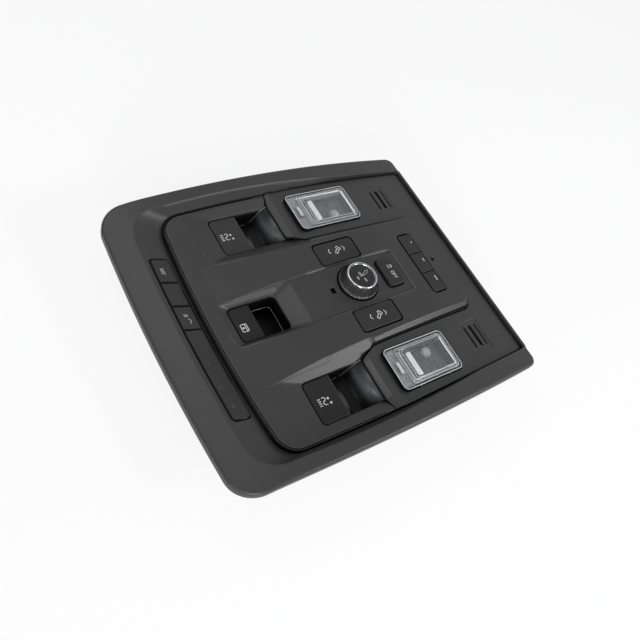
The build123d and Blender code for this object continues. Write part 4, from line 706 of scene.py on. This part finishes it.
def panel_shadow():
    """Black groove, widened with painted shade, and a painted highlight on the rounded edge along the front of the
    centre panel.
    """
    tree = surface("centre_panel")
    low = place(0, 0, PANEL_LOW_Z).z
    scans = [((x, PANEL_SIDE_Y), (0.0, 1.0)) for x in range(-40, -97, -8)]
    scans += [(PANEL_CORNER, heading(turn)) for turn in range(90, 181, 6)]
    scans += [((PANEL_FRONT_X, y), (-1.0, 0.0)) for y in range(72, -1, -8)]
    scans = both_sides(scans)
    reaches = [border(tree, start, way, low) for start, way in scans]
    groove, edge = ([ahead(start, way, reach - inset) for (start, way), reach in zip(scans, reaches)]
                    for inset in (GROOVE_INSET, EDGE_INSET))
    laid("panel_groove_shade", "centre_panel", "console", "gap", (groove,), width=1.3, lift=0.02, crown=0.0)
    laid("panel_edge_highlight", "centre_panel", "console", "painted_highlight", (edge,), width=0.55, lift=0.02, crown=0.1)


def tongue_edges():
    """Painted highlight on the rounded edge and painted shade at the foot of the raised middle, beside the lamp
    panel.
    """
    tree = surface("centre_panel")
    low = place(0, 0, TONGUE_LOW_Z).z
    wider = TONGUE_SIDE_FLANK - TONGUE_REAR_FLANK
    scans = [((x, TONGUE_SIDE_Y), (0.0, 1.0), TONGUE_SIDE_FLANK) for x in range(-20, 69, 8)]
    scans += [(TONGUE_CORNER, heading(turn), TONGUE_REAR_FLANK + wider * turn / 90) for turn in range(90, -1, -9)]
    scans += [((TONGUE_REAR_X, y), (1.0, 0.0), TONGUE_REAR_FLANK) for y in range(30, -1, -6)]
    pale, dark = [], []
    for start, way, flank in both_sides(scans):
        reach = border(tree, start, way, low)
        pale.append(ahead(start, way, reach - flank))
        dark.append(ahead(start, way, reach - FOOT_INSET))
    laid("tongue_edge", "centre_panel", "console", "painted_highlight", (pale,), width=0.6, lift=0.01, crown=0.08)
    laid("tongue_foot_shade", "centre_panel", "console", "gap", (dark,), width=0.8, lift=0.02, crown=0.0)


def crests():
    """Rounded crest of the ring along both long sides, raised slightly and painted lighter as a highlight."""
    tree = surface("outer_bezel")
    lines = []
    for way in (1, -1):
        line = []
        for x in range(-112, 25, 6):
            top = drop(tree, x, way * RING_TOP_Y)
            wall, flat = RING_WALL_Y, RING_TOP_Y
            for _ in range(9):
                middle = (wall + flat) / 2
                z = drop(tree, x, way * middle)
                if z is None or z < top - RING_EDGE_FALL * MM:
                    wall = middle
                else:
                    flat = middle
            line.append((x, way * (flat - CREST_INSET)))
        lines.append(line)
    laid("ring_crest_highlights", "outer_bezel", "console", "crest", lines, width=1.6, lift=0.0, crown=0.12)


# ---- solid pieces

# radius and height of the knob's grip, from the top down; the ribs run from the third point to the seventh
GRIP_PROFILE = ((12.0, 11.38), (12.3, 11.2), (12.6, 10.7), (13.2, 9.2), (13.9, 7.4), (14.6, 5.6), (15.0, 4.7),
                (15.3, 4.4), (15.45, 4.2), (15.4, 3.7), (14.9, 3.52), (11.0, 3.52))
GRIP_RIBS = 42
GRIP_STEPS = 10  # points round the knob for each rib
GRIP_DEPTH = 0.6
# x and z of a side well's slide, from its floor up to the lamp arm
SCOOP = ((-58.5, -19.3), (-50.5, -19.2), (-46.5, -18.4), (-43.2, -15.6), (-40.6, -10.5), (-38.6, -6.0),
         (-36.4, -3.3), (-33.6, -2.1), (-33.2, -2.2))
SCOOP_THICKNESS = 0.6
SCOOP_EDGE_START_X = -52.5
SCOOP_EDGE_INSET = 0.2
SCOOP_EDGE_RISE = 0.15
SCOOP_EDGE_RADIUS = 0.28
BEAD_SIDES = 8


def made(name, body, look, build, replaced=()):
    """Smooth piece built by a function in a fresh mesh."""
    work = bmesh.new()
    build(work)
    bmesh.ops.recalc_face_normals(work, faces=work.faces)
    for face in work.faces:
        face.smooth = len(face.verts) == 4
    finished(work, name, body, look, replaced)


def skin(work, rings):
    """Faces between closed rings of points, with both ends closed."""
    count = len(rings[0])
    for one, two in zip(rings, rings[1:]):
        for j in range(count):
            work.faces.new((one[j], one[(j + 1) % count], two[(j + 1) % count], two[j]))
    work.faces.new(rings[0])
    work.faces.new(list(reversed(rings[-1])))


def bead(work, points, radius):
    """Round bead along a line of points."""
    rings = []
    for k, here in enumerate(points):
        along = (Vector(points[min(k + 1, len(points) - 1)]) - Vector(points[max(k - 1, 0)])).normalized()
        side = along.cross(Vector((0.3, 0.2, 1.0))).normalized()
        up = side.cross(along)
        ring = []
        for j in range(BEAD_SIDES):
            turn = math.tau * j / BEAD_SIDES
            point = Vector(here) + (side * math.cos(turn) + up * math.sin(turn)) * radius
            ring.append(work.verts.new(place(*point)))
        rings.append(ring)
    skin(work, rings)


def knob_grip():
    """Ribbed grip of the knob, standing for its CAD skirt."""
    count = GRIP_RIBS * GRIP_STEPS

    def build(work):
        rings = []
        for k, (radius, z) in enumerate(GRIP_PROFILE):
            ribbed = 1.0 if 2 <= k <= 6 else 0.5 if k in (1, 7) else 0.0
            ring = []
            for j in range(count):
                wave = 0.5 + 0.5 * math.cos(math.tau * j / GRIP_STEPS)
                r = radius - GRIP_DEPTH * ribbed * (1 - wave)
                turn = math.tau * j / count
                ring.append(work.verts.new(place(KNOB_X + r * math.cos(turn), r * math.sin(turn), z)))
            rings.append(ring)
        skin(work, rings)

    made("knob_grip", "knob", "knob", build, ("knob_skirt",))


def scoops():
    """Glossy curved slide with a painted reflection behind each side switch, and a painted highlight along its edge
    at the wall.
    """
    line = smooth_line(SCOOP)
    for side, way in (("left", 1), ("right", -1)):
        inner = way * (WELL_INNER_Y + WELL_GAP)
        outer = way * (WELL_OUTER_Y - WELL_GAP)
        corners = ((inner, 0.0), (outer, 0.0), (outer, SCOOP_THICKNESS), (inner, SCOOP_THICKNESS))
        made(f"scoop_{side}", "console", "scoop", lambda work: skin(
            work, [[work.verts.new(place(x, y, z - sunk)) for y, sunk in corners] for x, z in line]))
        wall = max(inner, outer)
        edge = [(x, wall - SCOOP_EDGE_INSET, z + SCOOP_EDGE_RISE) for x, z in line if x > SCOOP_EDGE_START_X]
        made(f"scoop_edge_highlight_{side}", "console", "line", lambda work: bead(work, edge, SCOOP_EDGE_RADIUS))


def centre_ledge_highlight():
    """Painted highlight along the edge of the deeper part of the middle finger well."""
    half = [(-84.8, 12.2, LEDGE_Z), (-72.4, 12.2, LEDGE_Z), (-68.6, 11.4, LEDGE_Z), (-68.0, 8.0, LEDGE_Z)]
    points = smooth_line(half + [(x, -y, z) for x, y, z in reversed(half)])
    made("centre_ledge_highlight", "console", "line", lambda work: bead(work, points, LEDGE_RADIUS))


printed_signs()
knob_signs()
knob_grip()
lens_edges()
button_gaps()
scoops()
centre_ledge_highlight()
channel_edge_highlights()
panel_shadow()
crests()
strip_gaps()
tongue_edges()
pocket_edges()


# ---- floor, light and camera

FLOOR_SIZE = 6.0
FLOOR_GAP = 0.0003  # keeps the floor clear of the housing's flat base
SHADOW_SHARE = 0.14  # how much of the floor takes the shadow; the rest is plain white
LIGHTS = (  # name, position, size and power
    ("key", (-0.75, -1.25, 0.5), 0.6, 18),
    ("front", (-1.15, -0.5, 0.28), 0.5, 3),
    ("back", (-0.25, 0.6, 1.15), 0.8, 3.5),
    ("side", (0.7, -0.8, 0.76), 0.5, 8),
)
# The camera was fitted to the photograph's edges and parting lines.
CAMERA_RIGHT = Vector((0.81018701, -0.48985907, 0.32192405))
CAMERA_UP = Vector((0.27613198, 0.8033938, 0.52755051))
CAMERA_BACK = Vector((-0.51705719, -0.33852105, 0.78616497))
CAMERA_PLACE = Vector((-0.26625, -0.1794, 0.4141))
FOCAL_PIXELS = 680.02
PICTURE_PIXELS = 640
SENSOR_WIDTH = 36.0


def seen_directly(tree):
    """1 for camera, glossy and transmission rays, else 0."""
    path = tree.nodes.new("ShaderNodeLightPath")
    first = tree.nodes.new("ShaderNodeMath")
    first.operation = "ADD"
    tree.links.new(path.outputs["Is Camera Ray"], first.inputs[0])
    tree.links.new(path.outputs["Is Glossy Ray"], first.inputs[1])
    second = tree.nodes.new("ShaderNodeMath")
    second.operation = "ADD"
    second.use_clamp = True
    tree.links.new(first.outputs[0], second.inputs[0])
    tree.links.new(path.outputs["Is Transmission Ray"], second.inputs[1])
    return second.outputs[0]


def floor_material():
    """White where it is seen directly, with a share of plain diffuse that takes the shadow."""
    material = bpy.data.materials.new("floor_white")
    material.use_nodes = True
    tree = material.node_tree
    tree.nodes.clear()
    out = tree.nodes.new("ShaderNodeOutputMaterial")
    diffuse = tree.nodes.new("ShaderNodeBsdfDiffuse")
    diffuse.inputs["Color"].default_value = (0.9, 0.9, 0.9, 1)
    bright = tree.nodes.new("ShaderNodeEmission")
    bright.inputs["Color"].default_value = (1, 1, 1, 1)
    part = tree.nodes.new("ShaderNodeMath")
    part.operation = "MULTIPLY"
    part.inputs[1].default_value = 1 - SHADOW_SHARE
    tree.links.new(seen_directly(tree), part.inputs[0])
    mix = tree.nodes.new("ShaderNodeMixShader")
    tree.links.new(part.outputs[0], mix.inputs["Fac"])
    tree.links.new(diffuse.outputs[0], mix.inputs[1])
    tree.links.new(bright.outputs[0], mix.inputs[2])
    tree.links.new(mix.outputs[0], out.inputs["Surface"])
    return material


def make_floor():
    mesh = bpy.data.meshes.new("floor")
    work = bmesh.new()
    bmesh.ops.create_grid(work, x_segments=1, y_segments=1, size=FLOOR_SIZE / 2)
    work.to_mesh(mesh)
    work.free()
    mesh.materials.append(floor_material())
    floor = bpy.data.objects.new("floor", mesh)
    bpy.context.scene.collection.objects.link(floor)
    floor.location.z = -FLOOR_GAP


def make_world():
    """Plain soft light, and a white background where it is seen directly."""
    world = bpy.data.worlds.new("studio")
    bpy.context.scene.world = world
    world.use_nodes = True
    tree = world.node_tree
    soft = tree.nodes["Background"]
    soft.inputs["Color"].default_value = (0.9, 0.95, 1.0, 1)
    soft.inputs["Strength"].default_value = 0.2
    white = tree.nodes.new("ShaderNodeBackground")
    white.inputs["Color"].default_value = (1, 1, 1, 1)
    white.inputs["Strength"].default_value = 1.0
    mix = tree.nodes.new("ShaderNodeMixShader")
    tree.links.new(seen_directly(tree), mix.inputs["Fac"])
    tree.links.new(soft.outputs[0], mix.inputs[1])
    tree.links.new(white.outputs[0], mix.inputs[2])
    tree.links.new(mix.outputs[0], tree.nodes["World Output"].inputs["Surface"])


def area_light(name, position, size, power):
    """Round area light that points at the part."""
    data = bpy.data.lights.new(name, "AREA")
    data.shape = "DISK"
    data.size = size
    data.energy = power
    lamp = bpy.data.objects.new(name, data)
    bpy.context.scene.collection.objects.link(lamp)
    lamp.location = position
    lamp.rotation_mode = "QUATERNION"
    lamp.rotation_quaternion = (-Vector(position)).to_track_quat("-Z", "Y")


def make_camera():
    data = bpy.data.cameras.new("camera")
    data.sensor_width = SENSOR_WIDTH
    data.lens = FOCAL_PIXELS / PICTURE_PIXELS * SENSOR_WIDTH
    data.clip_start = 0.02
    data.clip_end = 20.0
    camera = bpy.data.objects.new("camera", data)
    bpy.context.scene.collection.objects.link(camera)
    turn = Matrix((CAMERA_RIGHT, CAMERA_UP, CAMERA_BACK)).transposed().to_4x4()
    camera.matrix_world = Matrix.Translation(CAMERA_PLACE) @ turn
    bpy.context.scene.camera = camera


make_floor()
make_world()
for light in LIGHTS:
    area_light(*light)
make_camera()
bpy.context.scene.view_settings.view_transform = "Standard"
